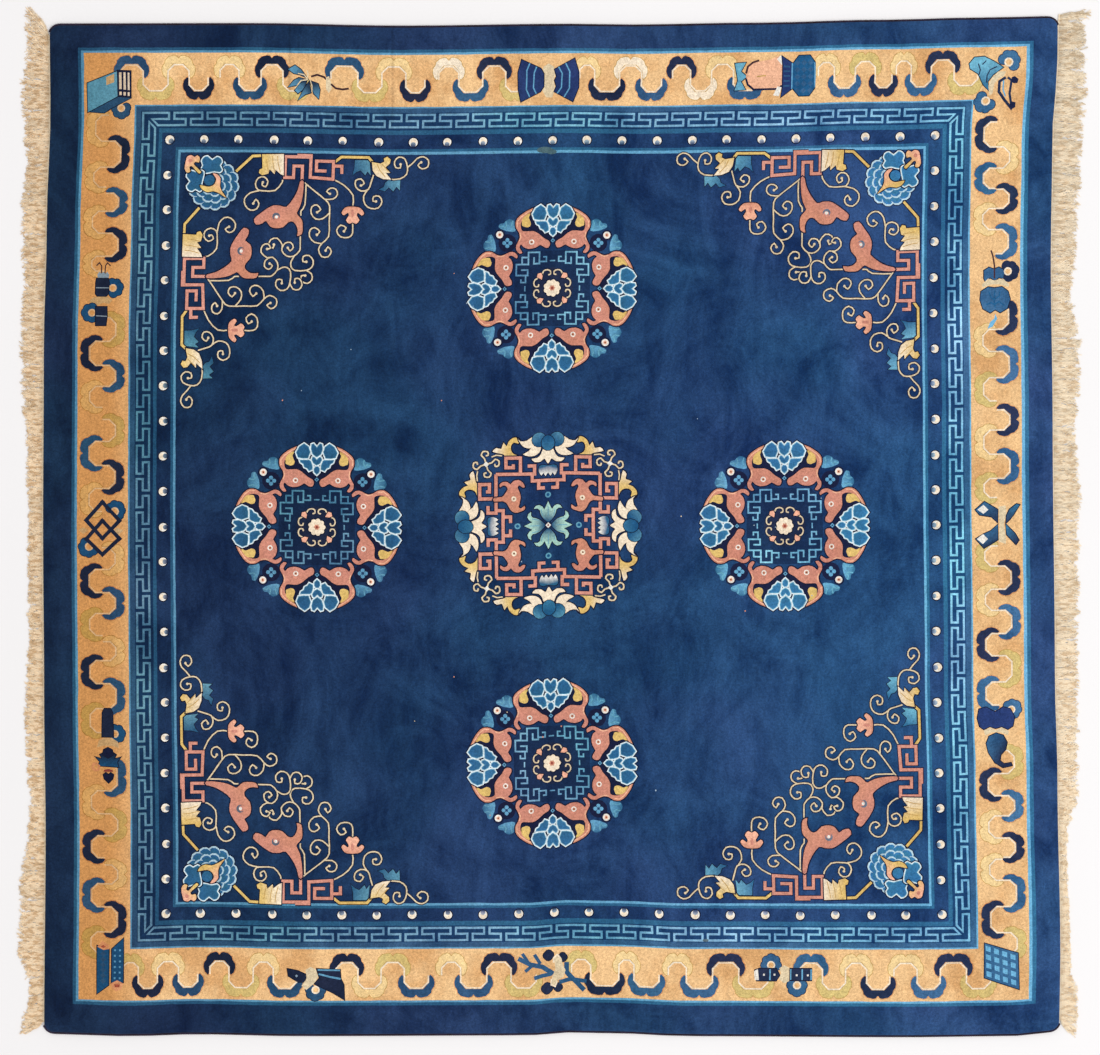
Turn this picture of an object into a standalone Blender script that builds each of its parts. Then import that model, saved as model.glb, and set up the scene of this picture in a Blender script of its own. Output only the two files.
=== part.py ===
"""Square Chinese carpet lying flat, with a fringe at two ends. Metres, +Z up.

The carpet is one flat slab, woven back and knotted pile together. Its two ends, at -X and
+X, run out into a comb of loose warp ends behind a narrow plain web. Its two sides, at -Y
and +Y, are bound with an overcast cord. No edge is quite straight, as on any hand-knotted
carpet, so the slab, the cords and the combs all follow the same four wandering edges.
"""

import math
import random

import bmesh
import bpy
from mathutils import Vector

PILE_WIDTH = 2.745  # along X, between the fringed ends
PILE_DEPTH = 2.743  # along Y, between the corded sides
PILE_HEIGHT = 0.013  # back and pile together
PILE_ROUNDING = 0.004  # the pile's upper edge
CORNER_RADIUS = 0.026
CORD_DIAMETER = 0.006
CORD_CORNER_CLEARANCE = 0.002  # from a cord's end to the fringe's web
WEB_WIDTH = 0.009  # plain weave between the pile and the loose warp ends
FRINGE_HEIGHT = 0.0035
TEETH = 90  # clumps of warp ends in each comb
TOOTH_ROOT_SHARE = 0.86  # of the tooth pitch
TOOTH_TIP_SHARE = 0.74
UNEVEN_LENGTH = 0.006
UNEVEN_LEAN = 0.003
END_LEAN = 0.045  # how far the outermost teeth splay past the corner
END_LEAN_REACH = 0.06  # how soon that splay dies away along the edge
PIECE_GAP = 0.0003
SIDE_POINTS = 32
CORNER_POINTS = 5

# How far each edge wanders along +X or +Y. Columns: place along the edge, from -1 to 1; drift.
LEFT_DRIFT = (
    (-1.00, -0.005),
    (-0.60, -0.001),
    (-0.35, -0.005),
    (0.00, -0.008),
    (0.35, -0.006),
    (0.60, 0.002),
    (0.83, 0.012),
    (1.00, 0.010),
)
RIGHT_DRIFT = (
    (-1.00, 0.009),
    (-0.85, 0.012),
    (-0.50, 0.004),
    (-0.30, -0.003),
    (0.20, -0.009),
    (0.52, -0.014),
    (0.76, -0.010),
    (0.92, 0.004),
    (1.00, 0.005),
)
FRONT_DRIFT = (
    (-1.00, 0.003),
    (-0.83, -0.003),
    (-0.70, 0.002),
    (-0.50, -0.003),
    (-0.05, -0.001),
    (0.03, 0.007),
    (0.12, 0.005),
    (0.27, -0.003),
    (0.70, -0.006),
    (0.90, -0.003),
    (1.00, 0.008),
)
BACK_DRIFT = (
    (-1.00, -0.004),
    (-0.60, -0.003),
    (-0.30, -0.010),
    (0.03, -0.005),
    (0.15, -0.007),
    (0.40, -0.002),
    (0.65, 0.006),
    (0.85, 0.012),
    (1.00, 0.016),
)

# How long the loose warp ends are. Columns: place along the edge, from -1 to 1; length.
LEFT_FRINGE = (
    (-1.00, 0.058),
    (-0.91, 0.042),
    (-0.84, 0.074),
    (-0.74, 0.070),
    (-0.55, 0.044),
    (-0.40, 0.056),
    (-0.20, 0.044),
    (0.00, 0.042),
    (0.12, 0.046),
    (0.30, 0.062),
    (0.50, 0.062),
    (0.62, 0.070),
    (0.72, 0.062),
    (0.85, 0.078),
    (1.00, 0.066),
)
RIGHT_FRINGE = (
    (-1.00, 0.056),
    (-0.70, 0.054),
    (-0.45, 0.050),
    (-0.20, 0.066),
    (0.10, 0.074),
    (0.18, 0.064),
    (0.36, 0.080),
    (0.44, 0.058),
    (0.55, 0.070),
    (0.75, 0.080),
    (0.85, 0.084),
    (1.00, 0.080),
)


def eased(table, place):
    """The table's second column at a place, easing from each row to the next."""
    if place <= table[0][0]:
        return table[0][1]
    for (start, low), (end, high) in zip(table, table[1:]):
        if place <= end:
            share = (place - start) / (end - start)
            return low + (high - low) * (1 - math.cos(math.pi * share)) / 2
    return table[-1][1]


def as_woven(x, y):
    """Where a point of the straight-edged design lies on the carpet with its wandering edges."""
    across = x / (PILE_WIDTH / 2)
    along = y / (PILE_DEPTH / 2)
    right_share = (across + 1) / 2
    back_share = (along + 1) / 2
    drift_x = eased(LEFT_DRIFT, along) * (1 - right_share) + eased(RIGHT_DRIFT, along) * right_share
    drift_y = eased(FRONT_DRIFT, across) * (1 - back_share) + eased(BACK_DRIFT, across) * back_share
    return Vector((x + drift_x, y + drift_y, 0.0))


def edge_line(start, end):
    """Points of one side of the design, its corners left out."""
    steps = [i / (SIDE_POINTS - 1) for i in range(SIDE_POINTS)]
    return [as_woven(*(Vector(start).lerp(Vector(end), step))) for step in steps]


def corner_line(centre, first_angle):
    """Points round one corner, a quarter turn from first_angle, its two ends left out."""
    line = []
    for i in range(1, CORNER_POINTS + 1):
        angle = first_angle + math.pi / 2 * i / (CORNER_POINTS + 1)
        x = centre[0] + CORNER_RADIUS * math.cos(angle)
        y = centre[1] + CORNER_RADIUS * math.sin(angle)
        line.append(as_woven(x, y))
    return line


def carpet_edges():
    """The outline, anticlockwise, as its four sides and the four corners that follow them."""
    half_x = PILE_WIDTH / 2
    half_y = PILE_DEPTH / 2
    in_x = half_x - CORNER_RADIUS
    in_y = half_y - CORNER_RADIUS
    return {
        "front": edge_line((-in_x, -half_y), (in_x, -half_y)),
        "front_right": corner_line((in_x, -in_y), -math.pi / 2),
        "right": edge_line((half_x, -in_y), (half_x, in_y)),
        "back_right": corner_line((in_x, in_y), 0.0),
        "back": edge_line((in_x, half_y), (-in_x, half_y)),
        "back_left": corner_line((-in_x, in_y), math.pi / 2),
        "left": edge_line((-half_x, in_y), (-half_x, -in_y)),
        "front_left": corner_line((-in_x, -in_y), math.pi),
    }


def offset_line(line, distance):
    """An anticlockwise line moved outwards, which is to its right."""
    moved = []
    for i, point in enumerate(line):
        before = line[max(i - 1, 0)]
        after = line[min(i + 1, len(line) - 1)]
        run = (after - before).normalized()
        moved.append(point + Vector((run.y, -run.x, 0.0)) * distance)
    return moved


def dyed(name, colour, roughness):
    material = bpy.data.materials.new(name)
    material.use_nodes = True
    shader = material.node_tree.nodes["Principled BSDF"]
    shader.inputs["Base Color"].default_value = (*colour, 1.0)
    shader.inputs["Roughness"].default_value = roughness
    shader.inputs["Metallic"].default_value = 0.0
    return material


def object_from(name, shape, material):
    bmesh.ops.recalc_face_normals(shape, faces=shape.faces)
    mesh = bpy.data.meshes.new(name)
    shape.to_mesh(mesh)
    shape.free()
    mesh.materials.append(material)
    piece = bpy.data.objects.new(name, mesh)
    bpy.context.collection.objects.link(piece)
    return piece


def raised(shape, faces, height):
    """Extrudes flat faces straight up into a slab, and returns its upper faces."""
    grown = bmesh.ops.extrude_face_region(shape, geom=faces, use_keep_orig=True)["geom"]
    upper = [item for item in grown if isinstance(item, bmesh.types.BMVert)]
    bmesh.ops.translate(shape, verts=upper, vec=(0.0, 0.0, height))
    return [item for item in grown if isinstance(item, bmesh.types.BMFace)]


def make_carpet(edges, material):
    shape = bmesh.new()
    outline = [point for line in edges.values() for point in line]
    foot = shape.faces.new([shape.verts.new(point) for point in outline])
    top = raised(shape, [foot], PILE_HEIGHT)
    rim = [edge for face in top for edge in face.edges]
    bmesh.ops.bevel(shape, geom=rim, offset=PILE_ROUNDING, segments=2, profile=0.5, affect="EDGES")
    return object_from("pile_carpet", shape, material)


def make_cord(name, line, material):
    """An overcast cord along a side and round its two corners."""
    radius = CORD_DIAMETER / 2
    curve = bpy.data.curves.new(name, "CURVE")
    curve.dimensions = "3D"
    curve.bevel_depth = radius
    curve.bevel_resolution = 2
    curve.use_fill_caps = True
    spline = curve.splines.new("POLY")
    path = offset_line(line, radius + 2 * PIECE_GAP)
    spline.points.add(len(path) - 1)
    for point, place in zip(spline.points, path):
        point.co = (place.x, place.y, radius, 1.0)
    curve.materials.append(material)
    piece = bpy.data.objects.new(name, curve)
    bpy.context.collection.objects.link(piece)
    return piece


def along_line(line, distance):
    """The point at a distance along a line, and the direction that faces out of the carpet."""
    for start, end in zip(line, line[1:]):
        length = (end - start).length
        if distance <= length or end is line[-1]:
            run = (end - start).normalized()
            return start + run * distance, Vector((run.y, -run.x, 0.0)), run
        distance -= length


def make_fringe(name, line, lengths, seed, material):
    """A comb along one end: a web with a row of flat tapering teeth, leaning and uneven."""
    draw = random.Random(seed)
    total = sum((end - start).length for start, end in zip(line, line[1:]))
    pitch = (total - 2 * CORD_CORNER_CLEARANCE) / TEETH
    shape = bmesh.new()
    last_pair = None
    faces = []
    for number in range(TEETH):
        middle = CORD_CORNER_CLEARANCE + pitch * (number + 0.5)
        half_root = pitch * (0.5 if number in (0, TEETH - 1) else TOOTH_ROOT_SHARE / 2)
        pairs = []
        for place in (middle - half_root, middle + half_root):
            foot, out, _ = along_line(line, place)
            inner = shape.verts.new(foot + out * PIECE_GAP)
            outer = shape.verts.new(foot + out * WEB_WIDTH)
            pairs.append((inner, outer))
        root, out, run = along_line(line, middle)
        splay = math.exp(-(total - middle) / END_LEAN_REACH) - math.exp(-middle / END_LEAN_REACH)
        lean = END_LEAN * splay + draw.uniform(-1, 1) * UNEVEN_LEAN
        length = eased(lengths, root.y / (PILE_DEPTH / 2)) + draw.uniform(-1, 1) * UNEVEN_LENGTH
        tip = root + out * length + run * lean
        half_tip = run * pitch * TOOTH_TIP_SHARE / 2
        ends = [shape.verts.new(tip - half_tip), shape.verts.new(tip + half_tip)]
        (inner_a, outer_a), (inner_b, outer_b) = pairs
        if last_pair:
            faces.append(shape.faces.new((last_pair[0], last_pair[1], outer_a, inner_a)))
        faces.append(shape.faces.new((inner_a, outer_a, outer_b, inner_b)))
        faces.append(shape.faces.new((outer_a, ends[0], ends[1], outer_b)))
        last_pair = pairs[1]
    raised(shape, faces, FRINGE_HEIGHT)
    return object_from(name, shape, material)


def stand_on_origin(pieces):
    """Moves every piece so that the whole carpet's box stands centred on the origin."""
    bpy.context.view_layer.update()
    corners = [piece.matrix_world @ Vector(corner) for piece in pieces for corner in piece.bound_box]
    lows = [min(corner[axis] for corner in corners) for axis in range(3)]
    highs = [max(corner[axis] for corner in corners) for axis in range(3)]
    shift = Vector(((lows[0] + highs[0]) / 2, (lows[1] + highs[1]) / 2, 0.0))
    for piece in pieces:
        piece.location -= shift


def main():
    for old in list(bpy.data.objects):
        bpy.data.objects.remove(old)
    wool = dyed("blue wool pile", (0.022, 0.05, 0.13), 0.95)
    binding = dyed("dark overcast wool", (0.03, 0.02, 0.05), 0.9)
    cotton = dyed("undyed cotton warp", (0.68, 0.53, 0.36), 0.9)
    edges = carpet_edges()
    front_line = edges["front_left"] + edges["front"] + edges["front_right"]
    back_line = edges["back_right"] + edges["back"] + edges["back_left"]
    pieces = [
        make_carpet(edges, wool),
        make_cord("selvedge_cord_front", front_line, binding),
        make_cord("selvedge_cord_back", back_line, binding),
        make_fringe("fringe_left", edges["left"], LEFT_FRINGE, 11, cotton),
        make_fringe("fringe_right", edges["right"], RIGHT_FRINGE, 12, cotton),
    ]
    stand_on_origin(pieces)


main()
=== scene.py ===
"""Square Chinese carpet in deep blue wool, lying flat on a pale floor and seen from above.

The figured pile is drawn afresh from a layout in knots, 112 to the foot, with the origin at
the middle of the carpet, +X to the right-hand fringe and +Y to the back cord. Every motif is
a flat outline laid over the ones before it; the whole drawing is then woven into one mesh,
each piece of which takes the dye of the outline on top. Grooves are carved round the large
motifs, and the drawing follows the same four wandering edges as the carpet's solid.
"""

import math
import random

import bpy
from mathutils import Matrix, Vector, noise
from mathutils.geometry import delaunay_2d_cdt


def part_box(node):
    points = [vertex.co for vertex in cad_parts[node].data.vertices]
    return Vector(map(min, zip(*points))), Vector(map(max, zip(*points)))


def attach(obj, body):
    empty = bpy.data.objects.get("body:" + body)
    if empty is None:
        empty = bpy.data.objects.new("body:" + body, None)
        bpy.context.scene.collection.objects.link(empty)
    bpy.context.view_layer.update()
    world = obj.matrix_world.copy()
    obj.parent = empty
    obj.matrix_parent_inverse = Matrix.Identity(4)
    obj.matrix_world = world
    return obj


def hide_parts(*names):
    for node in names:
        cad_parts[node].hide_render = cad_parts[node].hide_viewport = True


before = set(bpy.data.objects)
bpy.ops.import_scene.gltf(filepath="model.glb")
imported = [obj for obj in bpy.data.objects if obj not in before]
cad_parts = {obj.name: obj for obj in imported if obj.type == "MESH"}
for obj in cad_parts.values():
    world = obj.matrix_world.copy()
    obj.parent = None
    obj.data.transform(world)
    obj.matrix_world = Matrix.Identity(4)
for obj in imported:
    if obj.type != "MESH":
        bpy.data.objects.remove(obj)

bl_info = {
    "name": "Chinese Deco Carpet",
    "version": (1, 0, 0),
    "blender": (4, 2, 0),
    "location": "View3D > Sidebar > Carpet",
    "description": "Builds a square figured wool carpet with cords and fringes, and its floor",
    "category": "Add Mesh",
}

KNOT = 0.3048 / 112  # metres
HALF_WIDTH = 1.3725
HALF_DEPTH = 1.3715
CORNER_RADIUS = 0.026
SIDE_POINTS = 32
CORNER_POINTS = 5
PIECE_GAP = 0.0003

# How far each edge wanders along +X or +Y. Columns: place along the edge, from -1 to 1; drift.
LEFT_DRIFT = (
    (-1.00, -0.005), (-0.60, -0.001), (-0.35, -0.005), (0.00, -0.008),
    (0.35, -0.006), (0.60, 0.002), (0.83, 0.012), (1.00, 0.010),
)
RIGHT_DRIFT = (
    (-1.00, 0.009), (-0.85, 0.012), (-0.50, 0.004), (-0.30, -0.003), (0.20, -0.009),
    (0.52, -0.014), (0.76, -0.010), (0.92, 0.004), (1.00, 0.005),
)
FRONT_DRIFT = (
    (-1.00, 0.003), (-0.83, -0.003), (-0.70, 0.002), (-0.50, -0.003), (-0.05, -0.001),
    (0.03, 0.007), (0.12, 0.005), (0.27, -0.003), (0.70, -0.006), (0.90, -0.003), (1.00, 0.008),
)
BACK_DRIFT = (
    (-1.00, -0.004), (-0.60, -0.003), (-0.30, -0.010), (0.03, -0.005), (0.15, -0.007),
    (0.40, -0.002), (0.65, 0.006), (0.85, 0.012), (1.00, 0.016),
)

# How long the loose warp ends are. Columns: place along the edge, from -1 to 1; length.
LEFT_FRINGE = (
    (-1.00, 0.068), (-0.96, 0.064), (-0.93, 0.046), (-0.90, 0.044), (-0.85, 0.074),
    (-0.74, 0.070), (-0.55, 0.044), (-0.40, 0.056), (-0.20, 0.044), (0.00, 0.042), (0.12, 0.046),
    (0.30, 0.062), (0.50, 0.062), (0.62, 0.070), (0.72, 0.062), (0.85, 0.078), (1.00, 0.066),
)
RIGHT_FRINGE = (
    (-1.00, 0.056), (-0.92, 0.050), (-0.885, 0.032), (-0.70, 0.025), (-0.60, 0.027),
    (-0.54, 0.056), (-0.20, 0.066), (0.10, 0.074), (0.18, 0.064), (0.36, 0.080), (0.44, 0.058),
    (0.55, 0.070), (0.75, 0.080), (0.85, 0.084), (1.00, 0.080),
)

# Dyes: red, green and blue out of 255, and how strongly the wool mottles.
DYES = {
    "field": (26, 56, 97, 1.0),
    "outer": (27, 54, 93, 1.0),
    "ink": (22, 28, 58, 0.2),
    "navy": (30, 41, 68, 0.6),
    "gold": (237, 193, 139, 0.9),
    "blue": (47, 87, 124, 0.6),
    "teal": (42, 94, 130, 0.4),
    "sky": (98, 158, 192, 0.2),
    "fret": (104, 160, 190, 0.85),
    "fret_ground": (20, 56, 96, 0.9),
    "cream": (241, 223, 197, 0.2),
    "olive": (214, 190, 122, 0.4),
    "pale": (240, 208, 150, 0.4),
    "salmon": (204, 137, 119, 0.4),
    "rust": (150, 72, 62, 0.1),
    "leaf": (222, 188, 112, 0.4),
    "white": (234, 229, 219, 0.1),
    "brown": (112, 72, 48, 0.1),
    "mint": (166, 206, 192, 0.3),
    "peach": (240, 178, 150, 0.3),
    "flesh": (208, 142, 116, 0.4),
    "flesh_deep": (178, 96, 78, 0.2),
    "straw": (220, 201, 166, 0.2),
    "pool": (50, 108, 144, 0.3),
    "deep": (28, 82, 124, 0.3),
    "haze": (150, 170, 186, 0.2),
    "slate": (96, 108, 124, 0.1),
    "carved_gold": (196, 158, 92, 0.4),
    "indigo": (36, 54, 102, 0.4),
    "well": (20, 42, 76, 0.6),
    "smudge": (72, 98, 108, 0.6),
    "foam": (178, 206, 218, 0.2),
    "rose": (214, 149, 131, 0.4),
    "rim": (218, 230, 234, 0.1),
    "petal": (48, 106, 154, 0.3),
    "lid": (98, 158, 182, 0.3),
    "bark": (66, 42, 48, 0.1),
    "blush": (238, 182, 148, 0.3),
}


def eased(table, place):
    """The table's second column at a place, easing from each row to the next."""
    if place <= table[0][0]:
        return table[0][1]
    for (start, low), (end, high) in zip(table, table[1:]):
        if place <= end:
            share = (place - start) / (end - start)
            return low + (high - low) * (1 - math.cos(math.pi * share)) / 2
    return table[-1][1]


def as_woven(x, y):
    """Where a point of the straight-edged design lies on the carpet with its wandering edges."""
    across = x / HALF_WIDTH
    along = y / HALF_DEPTH
    right_share = (across + 1) / 2
    back_share = (along + 1) / 2
    drift_x = eased(LEFT_DRIFT, along) * (1 - right_share) + eased(RIGHT_DRIFT, along) * right_share
    drift_y = eased(FRONT_DRIFT, across) * (1 - back_share) + eased(BACK_DRIFT, across) * back_share
    return Vector((x + drift_x, y + drift_y, 0.0))


def edge_line(start, end):
    """Points of one side of the design, its corners left out."""
    steps = [i / (SIDE_POINTS - 1) for i in range(SIDE_POINTS)]
    return [Vector(start).lerp(Vector(end), step) for step in steps]


def corner_line(centre, first_angle):
    """Points round one corner, a quarter turn from first_angle, its two ends left out."""
    line = []
    for i in range(1, CORNER_POINTS + 1):
        angle = first_angle + math.pi / 2 * i / (CORNER_POINTS + 1)
        turned = Vector((math.cos(angle), math.sin(angle)))
        line.append(Vector(centre) + turned * CORNER_RADIUS)
    return line


def design_edges():
    """The straight-edged outline, anticlockwise, as its four sides and four corners."""
    in_x = HALF_WIDTH - CORNER_RADIUS
    in_y = HALF_DEPTH - CORNER_RADIUS
    return {
        "front": edge_line((-in_x, -HALF_DEPTH), (in_x, -HALF_DEPTH)),
        "front_right": corner_line((in_x, -in_y), -math.pi / 2),
        "right": edge_line((HALF_WIDTH, -in_y), (HALF_WIDTH, in_y)),
        "back_right": corner_line((in_x, in_y), 0.0),
        "back": edge_line((in_x, HALF_DEPTH), (-in_x, HALF_DEPTH)),
        "back_left": corner_line((-in_x, in_y), math.pi / 2),
        "left": edge_line((-HALF_WIDTH, in_y), (-HALF_WIDTH, -in_y)),
        "front_left": corner_line((-in_x, -in_y), math.pi),
    }


# --- the full-size drawing, in knots ---

TINY = 1e-6
# The least cosine a mitre is divided by, so that sharp bends stay blunt.
RIBBON_MITRE = 0.55
OUTLINE_MITRE = 0.6
SMALLEST_MOTIF = 0.05  # square knots
WIDEST_MOTIF = 40000.0  # square knots
# How far aside of its neighbours a point may lie and still be left out.
SLACK = 0.17
DARK_SLACK = 0.32
GROOVE_SHARE = 0.45  # of the halo


def placed(origin, turn=0, mirror=False, scale=(1.0, 1.0)):
    """A move from a motif's frame to the drawing: scale, mirror in the Y axis, turn, shift."""
    cosine, sine = ((1, 0), (0, 1), (-1, 0), (0, -1))[turn % 4]

    def move(point):
        x = point[0] * scale[0] * (-1 if mirror else 1)
        y = point[1] * scale[1]
        return (origin[0] + x * cosine - y * sine, origin[1] + x * sine + y * cosine)

    return move


def flipped(points):
    """The same points mirrored in the Y axis, in reverse order."""
    return [(-x, y) for x, y in reversed(points)]


def whole(half):
    """An outline from its half, whose first and last points lie on the Y axis."""
    return list(half) + flipped(half[1:-1])


def area_of(points):
    return sum(a[0] * b[1] - b[0] * a[1] for a, b in zip(points, points[1:] + points[:1])) / 2


def oriented(points):
    """The outline anticlockwise, starting from its leftmost point, which is always convex."""
    points = list(points)
    if area_of(points) < 0:
        points.reverse()
    first = min(range(len(points)), key=lambda i: (points[i][0], points[i][1]))
    return points[first:] + points[:first]


def smooth(points, closed=True, steps=3):
    """A curve through every point."""
    count = len(points)
    line = []
    for i in range(count if closed else count - 1):
        if closed:
            p0, p1, p2, p3 = (points[(i + k) % count] for k in (-1, 0, 1, 2))
        else:
            p0, p1, p2, p3 = (points[min(max(i + k, 0), count - 1)] for k in (-1, 0, 1, 2))
        for step in range(steps):
            t = step / steps
            line.append(tuple(
                0.5 * (2 * b + (c - a) * t + (2 * a - 5 * b + 4 * c - d) * t * t
                       + (3 * b - a - 3 * c + d) * t * t * t)
                for a, b, c, d in zip(p0, p1, p2, p3)
            ))
    if not closed:
        line.append(points[-1])
    return line


def disc(x, y, radius, sides=12, stretch=1.0):
    turn = 2 * math.pi / sides
    return [
        (x + radius * math.cos(i * turn), y + radius * stretch * math.sin(i * turn))
        for i in range(sides)
    ]


def lobed(x, y, radius, lobes, depth):
    """A round flower with a scalloped edge."""
    points = []
    for i in range(lobes * 4):
        angle = 2 * math.pi * i / (lobes * 4)
        reach = radius * (1 - depth + depth * abs(math.cos(lobes * angle / 2)))
        points.append((x + reach * math.cos(angle), y + reach * math.sin(angle)))
    return points


def ribbon(path, width):
    """The outline of a band laid along a path, with mitred bends."""
    left, right = [], []
    for i, here in enumerate(path):
        before = path[max(i - 1, 0)]
        after = path[min(i + 1, len(path) - 1)]
        a = Vector((here[0] - before[0], here[1] - before[1]))
        b = Vector((after[0] - here[0], after[1] - here[1]))
        a = a.normalized() if a.length > TINY else b.normalized()
        b = b.normalized() if b.length > TINY else a
        bisector = (a + b).normalized() if (a + b).length > TINY else a
        reach = width / 2 / max(bisector.dot(a), RIBBON_MITRE)
        side = Vector((-bisector.y, bisector.x)) * reach
        left.append((here[0] + side.x, here[1] + side.y))
        right.append((here[0] - side.x, here[1] - side.y))
    return left + right[::-1]


def halfway(a, b):
    return ((a[0] + b[0]) / 2, (a[1] + b[1]) / 2)


def unknotted(moved, points):
    """A moved outline with each side that has turned right round drawn in to its middle."""
    kept, old = [], []
    i = 0
    while i < len(moved):
        j = (i + 1) % len(moved)
        new_run = (moved[j][0] - moved[i][0], moved[j][1] - moved[i][1])
        old_run = (points[j][0] - points[i][0], points[j][1] - points[i][1])
        turned = new_run[0] * old_run[0] + new_run[1] * old_run[1] < 0 and j > i
        kept.append(halfway(moved[i], moved[j]) if turned else moved[i])
        old.append(halfway(points[i], points[j]) if turned else points[i])
        i += 2 if turned else 1
    return kept, old


def grown(points, distance):
    """An anticlockwise outline moved outwards, or inwards if the distance is negative."""
    count = len(points)
    moved = []
    for i, here in enumerate(points):
        before, after = points[i - 1], points[(i + 1) % count]
        a = Vector((here[0] - before[0], here[1] - before[1]))
        b = Vector((after[0] - here[0], after[1] - here[1]))
        if a.length < TINY or b.length < TINY:
            moved.append(here)
            continue
        a.normalize()
        b.normalize()
        bisector = a + b
        bisector = bisector.normalized() if bisector.length > TINY else a
        reach = distance / max(bisector.dot(a), OUTLINE_MITRE)
        moved.append((here[0] + bisector.y * reach, here[1] - bisector.x * reach))
    for _ in range(3):
        moved, points = unknotted(moved, points)
        if len(moved) < 4:
            break
    return moved


def trimmed(outline, slack):
    """The outline less points that lie almost straight between others, never two running."""
    kept, skipped = [outline[0]], False
    for here, ahead in zip(outline[1:], outline[2:] + outline[:1]):
        chord = (ahead[0] - kept[-1][0], ahead[1] - kept[-1][1])
        aside = abs((here[0] - kept[-1][0]) * chord[1] - (here[1] - kept[-1][1]) * chord[0])
        skipped = not skipped and aside < slack * math.hypot(*chord)
        if not skipped:
            kept.append(here)
    return kept


class Cartoon:
    """The carpet's drawing in knots: flat outlines, each laid over the ones before it."""

    def __init__(self):
        self.outlines = []
        self.dyes = []
        self.carved = []

    def lay(self, outline, dye, move=None, carved=False):
        outline = oriented([move(point) for point in outline] if move else outline)
        area = area_of(outline)
        if len(outline) > 2 and area > SMALLEST_MOTIF:
            if area < WIDEST_MOTIF:
                outline = trimmed(outline, DARK_SLACK if dye == "ink" else SLACK)
            self.outlines.append(outline)
            self.dyes.append(dye)
            self.carved.append(carved)

    def rounds(self, x, y, move, *rings):
        """Lays round spots about one middle, each (radius, sides, dye) over the one before."""
        for radius, sides, dye in rings:
            self.lay(disc(x, y, radius, sides), dye, move)

    def motif(self, shapes, move=None, halo=1.1, ink="ink", carve=True):
        """Lays (outline, dye) shapes over a dark halo with a groove carved along its middle."""
        move = move or (lambda point: point)
        done = []
        for outline, dye in shapes:
            outline = oriented([move(point) for point in outline])
            if not isinstance(dye, str):
                dye = (dye[0], dye[1], move(dye[2]), move(dye[3]))
            done.append((outline, dye))
        if halo:
            for outline, _ in done:
                self.lay(grown(outline, halo), ink)
            if carve:
                for outline, _ in done:
                    self.lay(grown(outline, halo * GROOVE_SHARE), ink, carved=True)
        for outline, dye in done:
            self.lay(outline, dye)

    def lines(self, paths, width, dye, move=None, halo=0.9, ink="ink"):
        """Lays ribbons of one width along the paths, over their dark halos."""
        move = move or (lambda point: point)
        placed_paths = [[move(point) for point in path] for path in paths]
        if halo:
            for path in placed_paths:
                self.lay(ribbon(path, width + 2 * halo), ink)
        for path in placed_paths:
            self.lay(ribbon(path, width), dye)


# Where each ground starts, in knots in from the carpet's edge: left, right, front, back.
BANDS = (
    ("teal", (28.5, 24.0, 28.7, 22.5)),
    ("sky", (31.5, 27.8, 31.8, 25.4)),
    ("gold", (34.0, 31.0, 33.7, 27.7)),
    ("sky", (84.8, 81.6, 85.3, 79.7)),
    ("blue", (86.4, 83.2, 86.9, 81.1)),
    ("fret_ground", (91.4, 88.6, 91.8, 85.7)),
    ("teal", (109.6, 106.8, 108.4, 103.2)),
    ("field", (113.1, 110.8, 112.9, 107.7)),
    ("teal", (127.1, 124.8, 125.9, 122.0)),
    ("sky", (129.8, 127.5, 128.6, 124.8)),
    ("field", (132.1, 129.8, 130.9, 127.5)),
)
GOLD_BAND = 2
FRET_BAND = 5
PEARL_BANDS = (7, 8)
HALF_X = HALF_WIDTH / KNOT
HALF_Y = HALF_DEPTH / KNOT
# By side: where it starts, the way along it, the way in, and its column in BANDS.
SIDES = {
    "left": ((-HALF_X, HALF_Y), (0, -1), (1, 0), 0),
    "right": ((HALF_X, HALF_Y), (0, -1), (-1, 0), 1),
    "front": ((-HALF_X, -HALF_Y), (1, 0), (0, 1), 2),
    "back": ((-HALF_X, HALF_Y), (1, 0), (0, -1), 3),
}


def side_move(side):
    """A move from (along the side, in from its edge) to the drawing."""
    (x, y), along, inward, _ = SIDES[side]
    return lambda p: (
        x + along[0] * p[0] + inward[0] * p[1], y + along[1] * p[0] + inward[1] * p[1],
    )


def depth_of(side, band):
    return BANDS[band][1][SIDES[side][3]]


def is_upright(side):
    return side in ("left", "right")


BAND_STEP = 12.0
BAND_WOBBLE = 0.45


def frame_outline(widths):
    """A rectangle inside the carpet's edge, with points along it for the wandering edges."""
    left, right, front, back = widths
    corners = [
        (-HALF_X + left, -HALF_Y + front), (HALF_X - right, -HALF_Y + front),
        (HALF_X - right, HALF_Y - back), (-HALF_X + left, HALF_Y - back),
    ]
    line = []
    for start, end in zip(corners, corners[1:] + corners[:1]):
        count = round(max(abs(end[0] - start[0]), abs(end[1] - start[1])) / BAND_STEP)
        for i in range(count):
            share = i / count
            point = [a + (b - a) * share for a, b in zip(start, end)]
            if i:
                wobble = noise.noise(Vector((point[0] / 9, point[1] / 9, widths[0]))) * BAND_WOBBLE
                point[1 if abs(end[0] - start[0]) > 1 else 0] += wobble
            line.append(tuple(point))
    return line


# Lines just inside the edge, where the pile's edge rounds over.
RIM_INSETS = (0.5, 1.6)


def draw_grounds(cartoon):
    """The plain ground, with the lines of its rounded edge, and the bands inside it."""
    outline = [(p.x / KNOT, p.y / KNOT) for line in design_edges().values() for p in line]
    cartoon.lay(outline, "outer")
    for inset in RIM_INSETS:
        cartoon.lay(grown(oriented(outline), -inset), "outer")
    for dye, widths in BANDS:
        cartoon.lay(frame_outline(widths), dye)


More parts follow.
